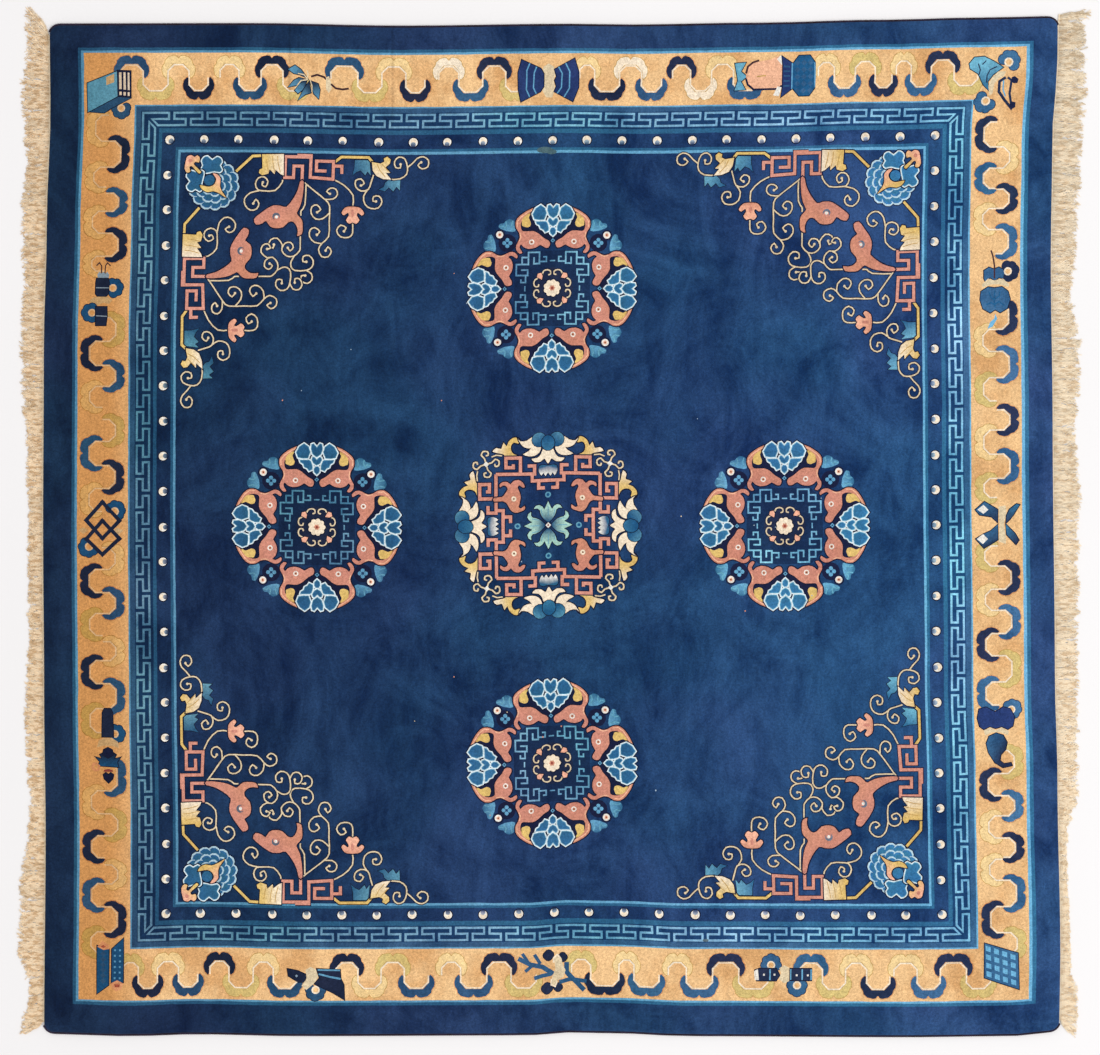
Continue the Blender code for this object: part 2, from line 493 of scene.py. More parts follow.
FRET_WIDTH = 2.1
FRET_MIDDLE = 6.2
FRET_INNER = 12.3
FRET_REPEAT = 33.4
# Shares of one repeat: the break between two bends, and how far a bend's arm reaches back.
FRET_BREAK = 0.16
FRET_ARM = 0.34
# How far from a corner its mitred bend leaves the middle level and reaches the inner one.
FRET_MITRE = (9.0, 15.0)
FRET_STEP = 7.0
FRET_WOBBLE = 0.22


def fret_path(length):
    """The bends of one side's key fret, from corner to corner, with its outer level at zero."""
    count = round((length + 4) / FRET_REPEAT + FRET_BREAK)
    period = (length + 4) / (count - FRET_BREAK)
    arm = FRET_ARM * period
    near, far = FRET_MITRE
    path = [(-FRET_WIDTH / 2, 0)]
    for k in range(count - 1):
        end = k * period - 2 + (1 - FRET_BREAK) * period
        start = (k + 1) * period - 2
        path += [(end, 0), (end, FRET_MIDDLE)]
        if k == 0:
            path += [(near, FRET_MIDDLE), (far, FRET_INNER)]
        else:
            path += [(end - arm, FRET_MIDDLE), (end - arm, FRET_INNER)]
        if k == count - 2:
            path += [(length - far, FRET_INNER), (length - near, FRET_MIDDLE)]
        else:
            path += [(start + arm, FRET_INNER), (start + arm, FRET_MIDDLE)]
        path += [(start, FRET_MIDDLE), (start, 0)]
    return path + [(length + FRET_WIDTH / 2, 0)]


def draw_fret(cartoon, side):
    """One continuous line of interlocking S bends, mitred into its neighbours at each corner."""
    move = side_move(side)
    upright = is_upright(side)
    ends = ("back", "front") if upright else ("left", "right")
    depths = [depth_of(other, FRET_BAND) + 1.0 + FRET_WIDTH / 2 for other in (side, *ends)]
    outer, first, last = depths[0], depths[1], 2 * (HALF_Y if upright else HALF_X) - depths[2]
    path = fret_path(last - first)
    line = []
    for (x0, y0), (x1, y1) in zip(path, path[1:]):
        count = max(1, round(abs(x1 - x0) / FRET_STEP))
        line += [(x0 + (x1 - x0) * i / count, y0 + (y1 - y0) * i / count) for i in range(count)]
    wandered = []
    for x, y in line + path[-1:]:
        x, y = first + x, outer + y
        shake = noise.noise_vector(Vector((x / 6, y / 6, outer))) * FRET_WOBBLE
        wandered.append(move((x + shake.x, y + shake.y)))
    cartoon.lay(ribbon(wandered, FRET_WIDTH), "fret")


PEARL_GAPS = 22


def draw_pearls(cartoon):
    """A row of round pearls on each side, the corner ones shared, shaded towards the field."""
    middles = {side: sum(depth_of(side, band) for band in PEARL_BANDS) / 2 for side in SIDES}
    x0, x1 = -HALF_X + middles["left"], HALF_X - middles["right"]
    y0, y1 = -HALF_Y + middles["front"], HALF_Y - middles["back"]
    places = []
    for i in range(PEARL_GAPS + 1):
        share = i / PEARL_GAPS
        lean = (share - 0.5) * 0.4
        places += [(x0 + (x1 - x0) * share, y0, lean, 1), (x0 + (x1 - x0) * share, y1, lean, -1)]
        if 0 < i < PEARL_GAPS:
            places += [(x0, y0 + (y1 - y0) * share, 1, lean), (x1, y0 + (y1 - y0) * share, -1, lean)]
    draw = random.Random(5)
    for x, y, inward_x, inward_y in places:
        x += draw.uniform(-0.7, 0.7)
        y += draw.uniform(-0.5, 0.5)
        radius = draw.uniform(4.0, 4.5)
        shade = Vector((inward_x, inward_y)).normalized()
        if abs(x) > abs(x0) - 3 and abs(y) > abs(y0) - 3:
            shade = Vector((-x, -y)).normalized()
        cartoon.lay(disc(x, y, radius + 1.1, 14), "ink")
        cartoon.lay(disc(x, y, radius + 0.5, 14), "ink", carved=True)
        cartoon.lay(disc(x, y, radius, 14), "white")
        cartoon.lay(disc(x - shade.x * 1.1, y - shade.y * 1.1, radius * 0.66, 12), "cream")
        cx, cy = x + shade.x * 2.2, y + shade.y * 2.2
        darkest = (cx + shade.x * 2, cy + shade.y * 2)
        cartoon.lay(disc(cx, cy, radius * 0.6, 9), ("haze", "field", (x, y), darkest))


# --- the border's wave of cloud crowns ---

WAVE_LEVELS = (12.0, 38.0)
WAVE_BEND = 6.2
WAVE_WIDTH = 1.5
# Runs of the wave on each side, by places along the side from the middle of the carpet.
# A run is the side its first crown swells to, then leg, dye, leg, dye ... leg.
CLOUD_RUNS = {
    "back": (
        ("out", -434, "blue", -411, "olive", -386, "pale", -365, "navy", -346),
        ("out", -334, "pale", -315, "blue", -293, "navy", -271, "olive", -249),
        ("out", -223, "blue", -196, "olive", -172, "pale", -148, "navy", -129),
        ("out", -115, "cream", -95, "blue", -71, "navy", -48, "olive", -29),
        ("out", 26, "pale", 41, "navy", 66, "cream", 88, "blue", 108),
        ("out", 119, "navy", 137, "cream", 158, "pale", 180, "blue", 205),
        ("out", 265, "pale", 281, "blue", 302, "olive", 322, "navy", 339),
        ("out", 343, "pale", 358, "blue", 378, "navy", 401, "olive", 425),
    ),
    "front": (
        ("in", -427, "olive", -411, "navy", -392, "pale", -371, "blue", -352),
        ("in", -340, "navy", -321, "olive", -297, "pale", -277, "blue", -254),
        ("in", -215, "navy", -193, "pale", -170, "olive", -147, "blue", -123),
        ("in", -110, "pale", -91, "blue", -65, "navy", -41, "olive", -16),
        ("in", 19, "olive", 38, "navy", 66, "pale", 81, "blue", 106),
        ("in", 115, "pale", 133, "blue", 159, "navy", 185, "olive", 214),
        ("in", 245, "blue", 268, "olive", 291, "pale", 312, "navy", 335),
        ("in", 339, "pale", 362, "blue", 385, "navy", 411, "olive", 435),
    ),
    "left": (
        ("out", -414, "pale", -388, "navy", -362, "pale", -342),
        ("in", -336, "blue", -318, "pale", -296, "navy", -273, "pale", -258),
        ("in", -212, "olive", -188, "navy", -164, "blue", -143, "pale", -122),
        ("in", -110, "olive", -88, "blue", -64, "navy", -41, "pale", -18),
        ("in", 18, "pale", 40, "navy", 63, "blue", 84, "olive", 106),
        ("in", 112, "pale", 131, "navy", 154, "blue", 179, "olive", 203),
        ("in", 233, "blue", 261, "pale", 284, "olive", 306, "navy", 328),
        ("in", 335, "pale", 354, "blue", 377, "navy", 402, "olive", 423),
    ),
    "right": (
        ("in", -402, "navy", -377, "pale", -356, "blue", -336),
        ("out", -335, "navy", -316, "pale", -295, "blue", -271),
        ("out", -221, "navy", -196, "pale", -174, "blue", -148, "olive", -125),
        ("out", -116, "navy", -96, "pale", -72, "blue", -48, "olive", -29),
        ("in", 19, "olive", 39, "navy", 62, "pale", 83, "blue", 106, "navy", 128,
         "olive", 154, "blue", 177),
        ("out", 222, "olive", 245, "navy", 267, "blue", 287, "pale", 309, "navy", 328),
        ("in", 330, "pale", 351, "blue", 377, "navy", 403, "olive", 425),
    ),
}


def bend_of(half):
    """How far the wave rounds off at each end of a bend that is twice half long."""
    return min(WAVE_BEND, half * 0.6)


def crown(half, level, outward):
    """A scalloped cloud crown over one bend of the wave, about the bend's middle."""
    rim = [
        (half + 2.0, -13.6), (half + 5.0, -10.6), (half + 6.3, -6.0), (half + 5.8, -1.8),
        (half + 3.6, 1.2), (half + 2.8, 4.6), (half - 0.8, 8.0), (half * 0.42, 9.4),
        (2.0, 8.8), (0.0, 6.4),
    ]
    bend = bend_of(half)
    inner = [(half + 0.8, -12.2), (half + 0.8, -bend), (half - bend + 1.0, 0.8)]
    points = rim + flipped(rim[:-1]) + flipped(inner[::-1]) + inner[::-1]
    return [(x, level + (-y if outward else y)) for x, y in points]


def draw_clouds(cartoon, side):
    """The wave line with a crown on every bend, in a band whose two levels it swings between."""
    move = side_move(side)
    base = depth_of(side, GOLD_BAND)
    middle = HALF_Y if is_upright(side) else HALF_X
    near, far = (base + level for level in WAVE_LEVELS)
    for run in CLOUD_RUNS[side]:
        outward = run[0] == "out"
        legs = [middle + place for place in run[1::2]]
        dyes = run[2::2]
        line = []
        crowns = []
        for (start, end), dye in zip(zip(legs, legs[1:]), dyes):
            level = near if outward else far
            away = 1 if outward else -1
            half = (end - start) / 2
            bend = bend_of(half)
            line += [
                (start, level + away * 13), (start, level + away * bend),
                (start + bend, level), (end - bend, level),
                (end, level + away * bend), (end, level + away * 13),
            ]
            shape = crown(half, level, outward)
            crowns.append(([((start + end) / 2 + x, y) for x, y in shape], dye))
            outward = not outward
        for shape, dye in crowns:
            if dye in ("navy", "blue"):
                cartoon.motif([(shape, dye)], move, halo=0.9, ink="gold")
            else:
                shape = oriented([move(point) for point in shape])
                cartoon.lay(grown(shape, 0.4), "carved_gold")
                cartoon.lay(grown(shape, -0.3), dye)
        cartoon.lines([line], WAVE_WIDTH, "cream", move, halo=0)


# --- the emblems in the border's gaps ---

# Each is its place and its parts, drawn about that place. A shape has a dark rim, a flat has
# none, and a line has a width. A cloud is given by its middle, its radius and the way it faces,
# a ball by its middle and radius, and a lattice or cells by the first one's middle, how many
# across and up, and the steps. A board is given by its first corner and its two steps.
EMBLEMS = (
    # along the back, corner to corner
    ((-445, 437), (
        ("cloud", "blue", (12, -17, 9.5, 95)),
        ("shape", "blue", ((-21, -20), (-5, -20.5), (2, -16), (22, -6), (9, -4.5))),
        ("shape", "lid", ((-22, 9), (8, 21), (8.5, -4), (-21.5, -20))),
        ("flat", "straw", ((-3, 15), (5, 18.4), (5, 10), (-3, 7))),
        ("shape", "ink", ((8.5, 21.5), (21.5, 21), (21.5, -5), (9, -4))),
        ("flat", "white", ((9.8, 19.5), (12.2, 19.8), (12.4, 3), (9.8, 3))),
        ("flat", "white", ((14.2, 19.8), (16.4, 19.8), (16.6, 2.5), (14.2, 2.5))),
        ("flat", "white", ((18.4, 19.5), (20.2, 19.2), (20.4, 2), (18.4, 2))),
        ("flat", "white", ((10, 0.4), (12.4, 0.4), (12.4, -3), (10, -3))),
        ("flat", "white", ((14.2, 0.2), (16.6, 0.2), (16.6, -3.4), (14.2, -3.4))),
        ("flat", "white", ((18.4, 0), (20.4, 0), (20.4, -4), (18.4, -4))),
    )),
    ((-245, 450), (
        ("shape", ("ink", "sky", (-3, 2), (-16, 10)),
         ((-1, 1), (-8, 10), (-14, 14), (-21, 10), (-15, 6), (-9, 5))),
        ("shape", ("ink", "sky", (-3, 0), (-17, -6)),
         ((-1, 0), (-10, 1.5), (-15, -1), (-21, -8), (-13, -6))),
        ("shape", ("ink", "sky", (-2, -2), (-12, -12)),
         ((-2, -1), (-9, -4), (-14, -11), (-11, -14), (-5, -9))),
        ("shape", ("ink", "sky", (0, -6), (-8, -18)),
         ((0, -2), (2, -13), (-4, -15), (-11, -21), (-6, -11))),
        ("shape", ("ink", "sky", (3, -4), (10, -17)),
         ((1, -1), (9, -4), (11, -10), (10, -19), (5, -14))),
        ("line", "straw", 1.1, ((-1, 0), (-5, 5), (-11, 6))),
        ("line", "straw", 1.1, ((-1, 0), (-8, -1), (-14, -9))),
        ("line", "straw", 1.1, ((1, 0), (3, -6), (3, -12))),
        ("line", "straw", 1.1, ((-2, 0), (-1, 6), (-2, 9))),
        ("line", "bark", 2.0, ((2, 3), (8, 5), (15, 3), (18, 0))),
        ("flat", "straw", ((17, 3), (20, 4), (22, -2), (23, -8), (20, -13), (17, -9))),
        ("line", "bark", 2.0, ((22, -4), (27, -8), (34, -9), (40, -8))),
    )),
    ((-5, 449), (
        ("flat", "straw",
         ((-8, 6), (-5, 14), (0, 17), (5, 14), (7, 6), (5, 0), (7, -8), (4, -17), (-2, -17),
          (-6, -10), (-5, 0))),
        ("shape", "indigo",
         ((-27, 21), (-8, 12), (-5, 7), (-5, -6), (-8, -11), (-27, -21), (-30, -9), (-30.5, 8))),
        ("shape", "indigo",
         ((26, 22), (30, 8), (30, -7), (25, -21), (6, -11), (8, -6), (6, 0), (8, 4), (6, 11))),
        ("line", "sky", 1.3, ((-19, 17.5), (-22, 10), (-22, -9), (-18.5, -16.5))),
        ("line", "sky", 1.3, ((-12, 14), (-14.5, 8), (-15, -7), (-12, -13))),
        ("line", "sky", 1.3, ((17, 17.5), (21, 9), (21, -8), (16, -16.5))),
        ("line", "sky", 1.3, ((10, 13.5), (13.5, 7), (13, -7), (9, -13))),
    )),
    ((220.5, 451), (
        ("shape", "lid",
         ((-39, 14), (-28, 15), (-33, 6), (-27, 1), (-33, -4), (-28, -12), (-39, -13), (-36, -3))),
        ("flat", "blush",
         ((-28, 5), (-24, 13), (-14, 16), (-3, 18), (4, 21), (9, 20), (9, -11), (-12, -12),
          (-21, -11), (-28, -4))),
        ("line", "bark", 2.0, ((-28, 4), (-26, 11), (-21, 15), (-15, 17))),
        ("line", "ink", 2.0, ((-28, -1), (-26, -7), (-20, -12), (-8, -12), (6, -11.5), (8, -8))),
        ("line", "carved_gold", 1.2, ((-17, 1), (-8, 2))),
        ("flat", "white", ((3, 18), (7, 22), (9, 18), (8, 12))),
        ("flat", "white", ((4, -9), (8, -10), (6, -19), (0, -18))),
        ("shape", "indigo", ((8, 21), (18, 14), (18, -12), (8, -20), (9, -10), (9, 12))),
        ("flat", "blue", ((10, 12), (16, 11), (16, 9.4), (10, 10))),
        ("flat", "blue", ((10, 7), (16, 6.6), (16, 5), (10, 5))),
        ("flat", "blue", ((10, 2), (16, 2), (16, 0.4), (10, 0.4))),
        ("flat", "blue", ((10, -3), (16, -3), (16, -4.6), (10, -4.6))),
        ("flat", "blue", ((10, -8), (16, -7.6), (16, -9.4), (10, -10))),
        ("shape", "deep",
         ((19, 13), (25, 21), (36, 21), (41, 14), (41, -12), (36, -19), (26, -19), (19, -11))),
        ("line", "sky", 1.2, ((18.4, 14), (18.4, -12))),
        ("line", "sky", 1.2, ((41, 14), (41.4, -11))),
        ("lattice", "blue", (23.5, -14, 3, 5, 6.6, 7.0)),
    )),
    ((441, 442), (
        ("shape", ("lid", "teal", (-12, 20), (-4, -4)),
         ((-25, 18), (-20, 24), (-10, 25), (0, 20), (9, 14), (-1, 7), (-6, 0), (-4, -9), (-10, -3),
          (-16, 8), (-24, 13))),
        ("line", "navy", 1.2, ((-16, 18), (-14, 12), (-15, 7))),
        ("line", "navy", 1.2, ((-8, 21), (-12, 17))),
        ("line", "navy", 1.2, ((3, 15), (-4, 12), (-7, 6), (-7, -1))),
        ("cloud", "blue", (15, 20, 11.0, 240)),
        ("flat", "straw",
         ((12, 10), (4, 10), (-2, 4), (-5, -4), (-3, -14), (0, -12), (1, -2), (5, 3), (10, 5))),
        ("cloud", "blue", (-7, -20, 11.0, 50)),
        ("line", "navy", 2.8, ((12, 4), (6, 0), (6, -10), (12, -18), (20, -27), (22, -24))),
        ("line", "navy", 2.4, ((14, 4), (18, 1), (17, -12), (20, -25))),
        ("line", "sky", 1.4, ((10, 1), (10, -8), (13, -15))),
        ("flat", "ink", ((18, 4), (21, 5), (25, 2), (24, -2), (20, -2), (18, 0))),
        ("flat", "ink", ((20, -20), (24, -21), (24, -26), (20, -28), (17, -25))),
    )),
    # down the left side
    ((-447.5, 232.5), (
        ("line", "bark", 1.2, ((-0.5, 19), (-1, 31), (-3, 34), (-6, 31))),
        ("line", "bark", 1.2, ((2.5, 19), (3, 31), (5, 34), (8, 31))),
        ("flat", "haze",
         ((-4, 17), (-5, 22), (-3, 25), (-1, 23), (1, 25), (3, 23), (5, 25), (7, 22), (6, 17))),
        ("cloud", "deep", (12, 9, 9.5, 190)),
        ("shape", "navy",
         ((-5.5, 18), (6, 18), (7, 14), (6.5, 3), (4, 0.5), (-4, 0.5), (-6, 3), (-6, 14))),
        ("line", "haze", 0.9, ((-6, 9), (7, 9))),
        ("flat", "straw",
         ((-12, -4), (-9, -1), (-4, 0), (6, 0), (11, -3), (8, -7), (2, -6), (-3, -8), (-9, -7))),
        ("cloud", "deep", (-10, -16, 9.5, 0)),
        ("shape", "navy", ((-5.5, -10), (5.5, -10), (6, -19), (5, -28.5), (-5, -28.5), (-5, -19))),
        ("line", "haze", 0.9, ((-5, -19), (6, -19.5))),
    )),
    ((-445, 1), (
        ("flat", "straw", ((-24, -2), (-19, 1), (-14, -2), (-19, -6))),
        ("flat", "straw", ((10, -2), (15, 1), (21, -2), (16, -6))),
        ("cloud", "deep", (13, 18, 10.0, 230)),
        ("cloud", "deep", (-14, -19, 10.0, 45)),
        ("line", "navy", 3.8, ((1.4, 28), (-17.4, 6.6))),
        ("line", "navy", 3.8, ((-1.4, 28), (18.4, 6.6))),
        ("line", "navy", 3.8, ((-17.4, 9.4), (1.4, -11.4))),
        ("line", "navy", 3.8, ((18.4, 9.4), (-1.4, -11.4))),
        ("line", "navy", 3.8, ((1.4, 9.4), (-17.4, -12.4))),
        ("line", "navy", 3.8, ((-1.4, 9.4), (18.4, -11.4))),
        ("line", "navy", 3.8, ((-17.4, -9.4), (1.4, -27.4))),
        ("line", "navy", 3.8, ((18.4, -8.4), (-1.4, -27.4))),
    )),
    ((-441, -215), (
        ("cloud", "deep", (8, 11, 9.5, 185)),
        ("shape", "navy", ((-5, 32), (-3, 36), (3, 36), (5, 32), (5.5, 8), (-5.5, 8))),
        ("flat", "straw", ((-9, 4), (-4, 7), (4, 7), (10, 3), (11, -3), (4, -1), (-4, -1), (-11, -3))),
        ("shape", ("navy", "deep", (0, -10), (0, -20)),
         ((-13, -12), (-6, -14), (-8, -10), (-4, -8), (0, -4), (5, -8), (8, -10), (6, -14),
          (13, -12), (9, -17), (10, -22), (-10, -21), (-8, -17))),
        ("shape", "ink", ((-5, -10), (-4, -5), (0, -3), (4, -5), (5, -10), (0, -13))),
        ("flat", "blush",
         ((-17, -22), (-15, -18), (-11, -18), (-8, -21), (-9, -26), (-13, -27), (-16, -25))),
        ("flat", "gold", ((-15, -22), (-12, -20), (-10, -22), (-12, -25))),
        ("flat", "rust", ((-4, -25), (0, -24), (4, -25), (5, -27), (-5, -27))),
        ("shape", "ink",
         ((-5, -30), (-2.5, -28), (0, -30), (2.5, -28), (5, -30), (4, -34), (0, -38), (-4, -34))),
    )),
    # down the right side
    ((448, 234.5), (
        ("shape", "blue",
         ((-11, 20), (-6, 23), (-1, 21), (4, 23), (10, 20), (12, 14), (8, 12), (4, 13), (0, 10),
          (-5, 13), (-9, 8), (-11, 12))),
        ("line", "bark", 1.6, ((-4, 40), (-2, 34), (-0.5, 25), (-0.5, 12))),
        ("cloud", "navy", (14, 19, 10.0, 190)),
        ("flat", "straw",
         ((-13, 6), (-7, 12), (-1, 10), (8, 12), (14, 6), (14, 3), (5, 6), (-4, 6), (-12, 3))),
        ("shape", "blue",
         ((-15, -9), (-14, -1), (-7, 3.5), (0, 2.5), (7, 3.5), (13, -1), (15, -9), (12, -18),
          (5, -22), (0, -19), (-5, -22), (-12, -18))),
        ("line", "deep", 1.3, ((0, 0), (-1, -9), (0, -17))),
        ("line", "deep", 1.3, ((-6, -1), (-4, -7), (-1, -9), (4, -6), (5, -1))),
        ("line", "deep", 1.3, ((-9, -14), (-4, -12), (-1, -14), (4, -11), (9, -15))),
        ("flat", "sky", ((0, -23), (2, -28), (-3, -36), (-8, -38), (-5, -31), (-1, -28))),
    )),
    ((448.5, 2), (
        ("flat", "straw", ((1, 18), (8, 19), (9, 12), (6, 0), (8, -12), (8, -19), (1, -17), (2, 0))),
        ("shape", ("navy", "blue", (-2, 6), (-12, 20)),
         ((-22, 15), (-13, 23), (0, 15), (0, 2), (-6, 8), (-18, 10))),
        ("shape", ("navy", "blue", (-4, -19), (-8, -8)),
         ((-22, -14), (-14, -9), (-7, -6), (0, 0), (0, -15), (-14, -23))),
        ("flat", "white", ((-20, 15), (-14, 20), (-9, 15), (-14, 11))),
        ("flat", "white", ((-21, -14), (-15, -9), (-10, -14), (-15, -19))),
        ("shape", ("navy", "teal", (10, 4), (20, 18)),
         ((8, 1), (12, 5), (16, 10), (22, 19), (19, 20), (12, 15), (9, 9))),
        ("shape", ("teal", "navy", (10, 0), (20, -16)),
         ((8, 1), (12, -4), (17, -9), (21, -16), (18, -20), (9, -10))),
    )),
    ((444, -207), (
        ("cloud", "blue", (17, 26, 9.5, 220)),
        ("shape", "indigo",
         ((-18, 17), (-16, 26), (-9, 28), (0, 23), (8, 28), (15, 26), (19, 18), (17, 9), (12, 6),
          (6, 9), (0, 7), (-6, 9), (-12, 6), (-16, 9))),
        ("flat", "straw",
         ((-12, 5), (-5, 8), (0, 5), (6, 8), (13, 4), (12, 0), (5, 3), (-4, 3), (-11, 0))),
        ("shape", ("blue", "navy", (-3, -8), (8, -14)),
         ((-10, -8), (-7, -1), (0, 2), (7, 0), (10.5, -7), (9, -14), (4, -19), (3, -25), (7, -28.5),
          (14, -27.5), (15, -30), (6, -32), (-2, -27), (-8, -17))),
    )),
    # along the front, corner to corner
    ((-439, -436), (
        ("shape", "deep", ((-13, 20), (-1.5, 17), (-1.5, -19), (-13, -28))),
        ("shape", "deep", ((1.5, 17), (13, 28), (13, -16), (1.5, -17))),
        ("lattice", "blue", (-7, -15, 1, 7, 5.0, 5.4)),
        ("cells", "sky", (4.6, -12, 2, 6, 5.0, 5.6)),
        ("flat", "blush", ((-13, 19), (-8, 25), (-1, 21), (-1, 17), (-7, 16))),
        ("flat", "flesh_deep", ((-10, 19), (-7, 21), (-4, 19), (-7, 18))),
        ("flat", "blush", ((1, -17), (7, -14), (13, -17), (11, -23), (6, -25), (2, -22))),
        ("flat", "flesh_deep", ((4, -18), (10, -18), (9, -21), (5, -21))),
    )),
    ((-231, -450.5), (
        ("cloud", "blue", (-4, -10, 10.0, 85)),
        ("shape", "navy", ((-32, 12), (-22, 10), (-13, 6), (-15, -1), (-21, -1), (-31, 5))),
        ("flat", "straw",
         ((-14, 11), (-9, 14), (-3, 11), (-1, 5), (-5, -2), (-13, -9), (-18, -5), (-13, 2))),
        ("shape", "navy",
         ((-3, 12), (20, 11), (21, 2), (24, -4), (25, -19), (14, -12), (-5, -3), (0, 3))),
        ("line", "sky", 1.6, ((-2, 11), (20, 10.5))),
        ("line", "sky", 1.8, ((-1, 7), (10, 4), (21, 2))),
        ("flat", "haze", ((-24.5, 5), (-23, 6.5), (-21.5, 5), (-23, 3.5))),
    )),
    ((4, -443), (
        ("ball", "navy", (-8, 16, 5.4)),
        ("ball", "navy", (6, 13, 4.8)),
        ("ball", "navy", (-9, -17, 5.8)),
        ("ball", "navy", (2, -17, 4.4)),
        ("line", "blue", 4.6, ((-38, 14), (-26, 8), (-14, 5), (-3, -3))),
        ("line", "blue", 3.4, ((-34, 19), (-28, 10))),
        ("line", "blue", 3.4, ((-22, 18), (-16, 8))),
        ("line", "blue", 3.4, ((-31, 1), (-24, 7))),
        ("line", "blue", 4.0, ((-22, -6), (-14, -4), (-5, -3))),
        ("line", "blue", 4.8, ((10, 8), (10, -2), (18, -10), (28, -20))),
        ("line", "blue", 4.2, ((3, -12), (14, -9), (30, -11))),
        ("flat", "straw",
         ((-3, 14), (1, 16), (5, 12), (6, 6), (9, 0), (7, -7), (1, -10), (-1, -16), (-5, -14),
          (-4, -6), (-1, 2))),
        ("line", "cream", 1.4, ((-3, 8), (-3, 13), (1, 16), (4, 12))),
        ("line", "cream", 1.4, ((-5, -8), (-5, -14), (-1, -16), (1, -11))),
    )),
    ((230, -444.5), (
        ("cloud", "blue", (-13, 11, 10.0, 270)),
        ("cloud", "blue", (13, -11, 10.0, 90)),
        ("flat", "straw", ((-5, 7), (0, 10), (6, 7), (8, 1), (5, -6), (0, -8), (-5, -4), (-3, 2))),
        ("shape", "navy", ((-29, 5), (-24, 6.5), (-8, 6.5), (-4.5, 0), (-8, -5.5), (-27, -5.5))),
        ("shape", "navy", ((6, 6.5), (27, 6.5), (27, -5), (6, -5))),
        ("flat", "white", ((-30, 4), (-26, 6), (-25, -5), (-29, -5))),
        ("line", "sky", 1.4, ((-14, 6), (-14, -5))),
        ("line", "sky", 1.4, ((18, 6), (18, -4.6))),
        ("line", "sky", 1.2, ((6.6, 6), (6.6, -4.6))),
        ("line", "sky", 1.6, ((27, 6), (27, -4.6))),
        ("cells", "white", (-20, 0.5, 2, 1, 10.5, 1.0)),
        ("cells", "white", (12.5, 0.0, 2, 1, 11.0, 1.0)),
    )),
    ((446, -436.5), (
        ("shape", "blue", ((-17, 23), (16, 13), (17.5, -23), (-17, -11))),
        ("board", "sky", (-13.5, 17.5, 8.2, -2.7, 0.3, -8.4)),
    )),
)


# Puffs of a small cloud: the angle from the way it faces, and shares of its radius.
CLOUD_PUFFS = ((180, 0.5, 0.52), (78, 0.56, 0.46), (-78, 0.56, 0.46), (130, 0.6, 0.4), (-130, 0.6, 0.4))


def draw_small_cloud(cartoon, move, dye, x, y, radius, facing):
    """Five puffs round a bright eye."""
    puffs = []
    for turn, reach, size in CLOUD_PUFFS:
        angle = math.radians(facing + turn)
        middle = (x + radius * reach * math.cos(angle), y + radius * reach * math.sin(angle))
        puffs.append((disc(*middle, radius * size, 12), dye))
    cartoon.motif(puffs, move, halo=0.8, ink="navy", carve=False)
    x += radius * 0.1 * math.cos(math.radians(facing))
    y += radius * 0.1 * math.sin(math.radians(facing))
    cartoon.rounds(x, y, move, (radius * 0.42, 10, "cream"), (radius * 0.28, 8, "gold"))


def draw_cells(cartoon, move, dye, place, radius, turn):
    """Small squares in rows, each turned by an angle from standing on its point."""
    x, y, columns, rows, wide, high = place
    for i in range(columns * rows):
        cx, cy = x + wide * (i % columns), y + high * (i // columns)
        angles = [turn + k * math.pi / 2 for k in range(4)]
        square = [(cx + radius * math.cos(angle), cy + radius * math.sin(angle)) for angle in angles]
        cartoon.lay(square, dye, move)


def draw_board(cartoon, move, dye, x, y, across_x, across_y, down_x, down_y):
    """Four rows of four slanting cells."""
    for i in range(16):
        u, v = i % 4, i // 4
        cell = [(x + across_x * (u + a) + down_x * (v + b), y + across_y * (u + a) + down_y * (v + b))
                for a, b in ((-0.3, -0.3), (0.3, -0.3), (0.3, 0.3), (-0.3, 0.3))]
        cartoon.lay(cell, dye, move)


def draw_emblem(cartoon, place, parts):
    """One emblem of the border, part by part."""
    move = placed(place)
    for kind, dye, *rest in parts:
        if kind == "line":
            width, path = rest
            cartoon.lines([path], width, dye, move, halo=0)
        elif kind == "cloud":
            draw_small_cloud(cartoon, move, dye, *rest[0])
        elif kind == "ball":
            cartoon.motif([(lobed(*rest[0], 4, 0.12), dye)], move, halo=0.6)
        elif kind == "lattice":
            draw_cells(cartoon, move, dye, rest[0], 3.0, 0.0)
        elif kind == "cells":
            draw_cells(cartoon, move, dye, rest[0], 1.3, math.pi / 4)
        elif kind == "board":
            draw_board(cartoon, move, dye, *rest[0])
        elif kind == "shape":
            cartoon.motif([(rest[0], dye)], move, halo=0.9)
        else:
            cartoon.lay(rest[0], dye, move)


# --- the outer medallions ---

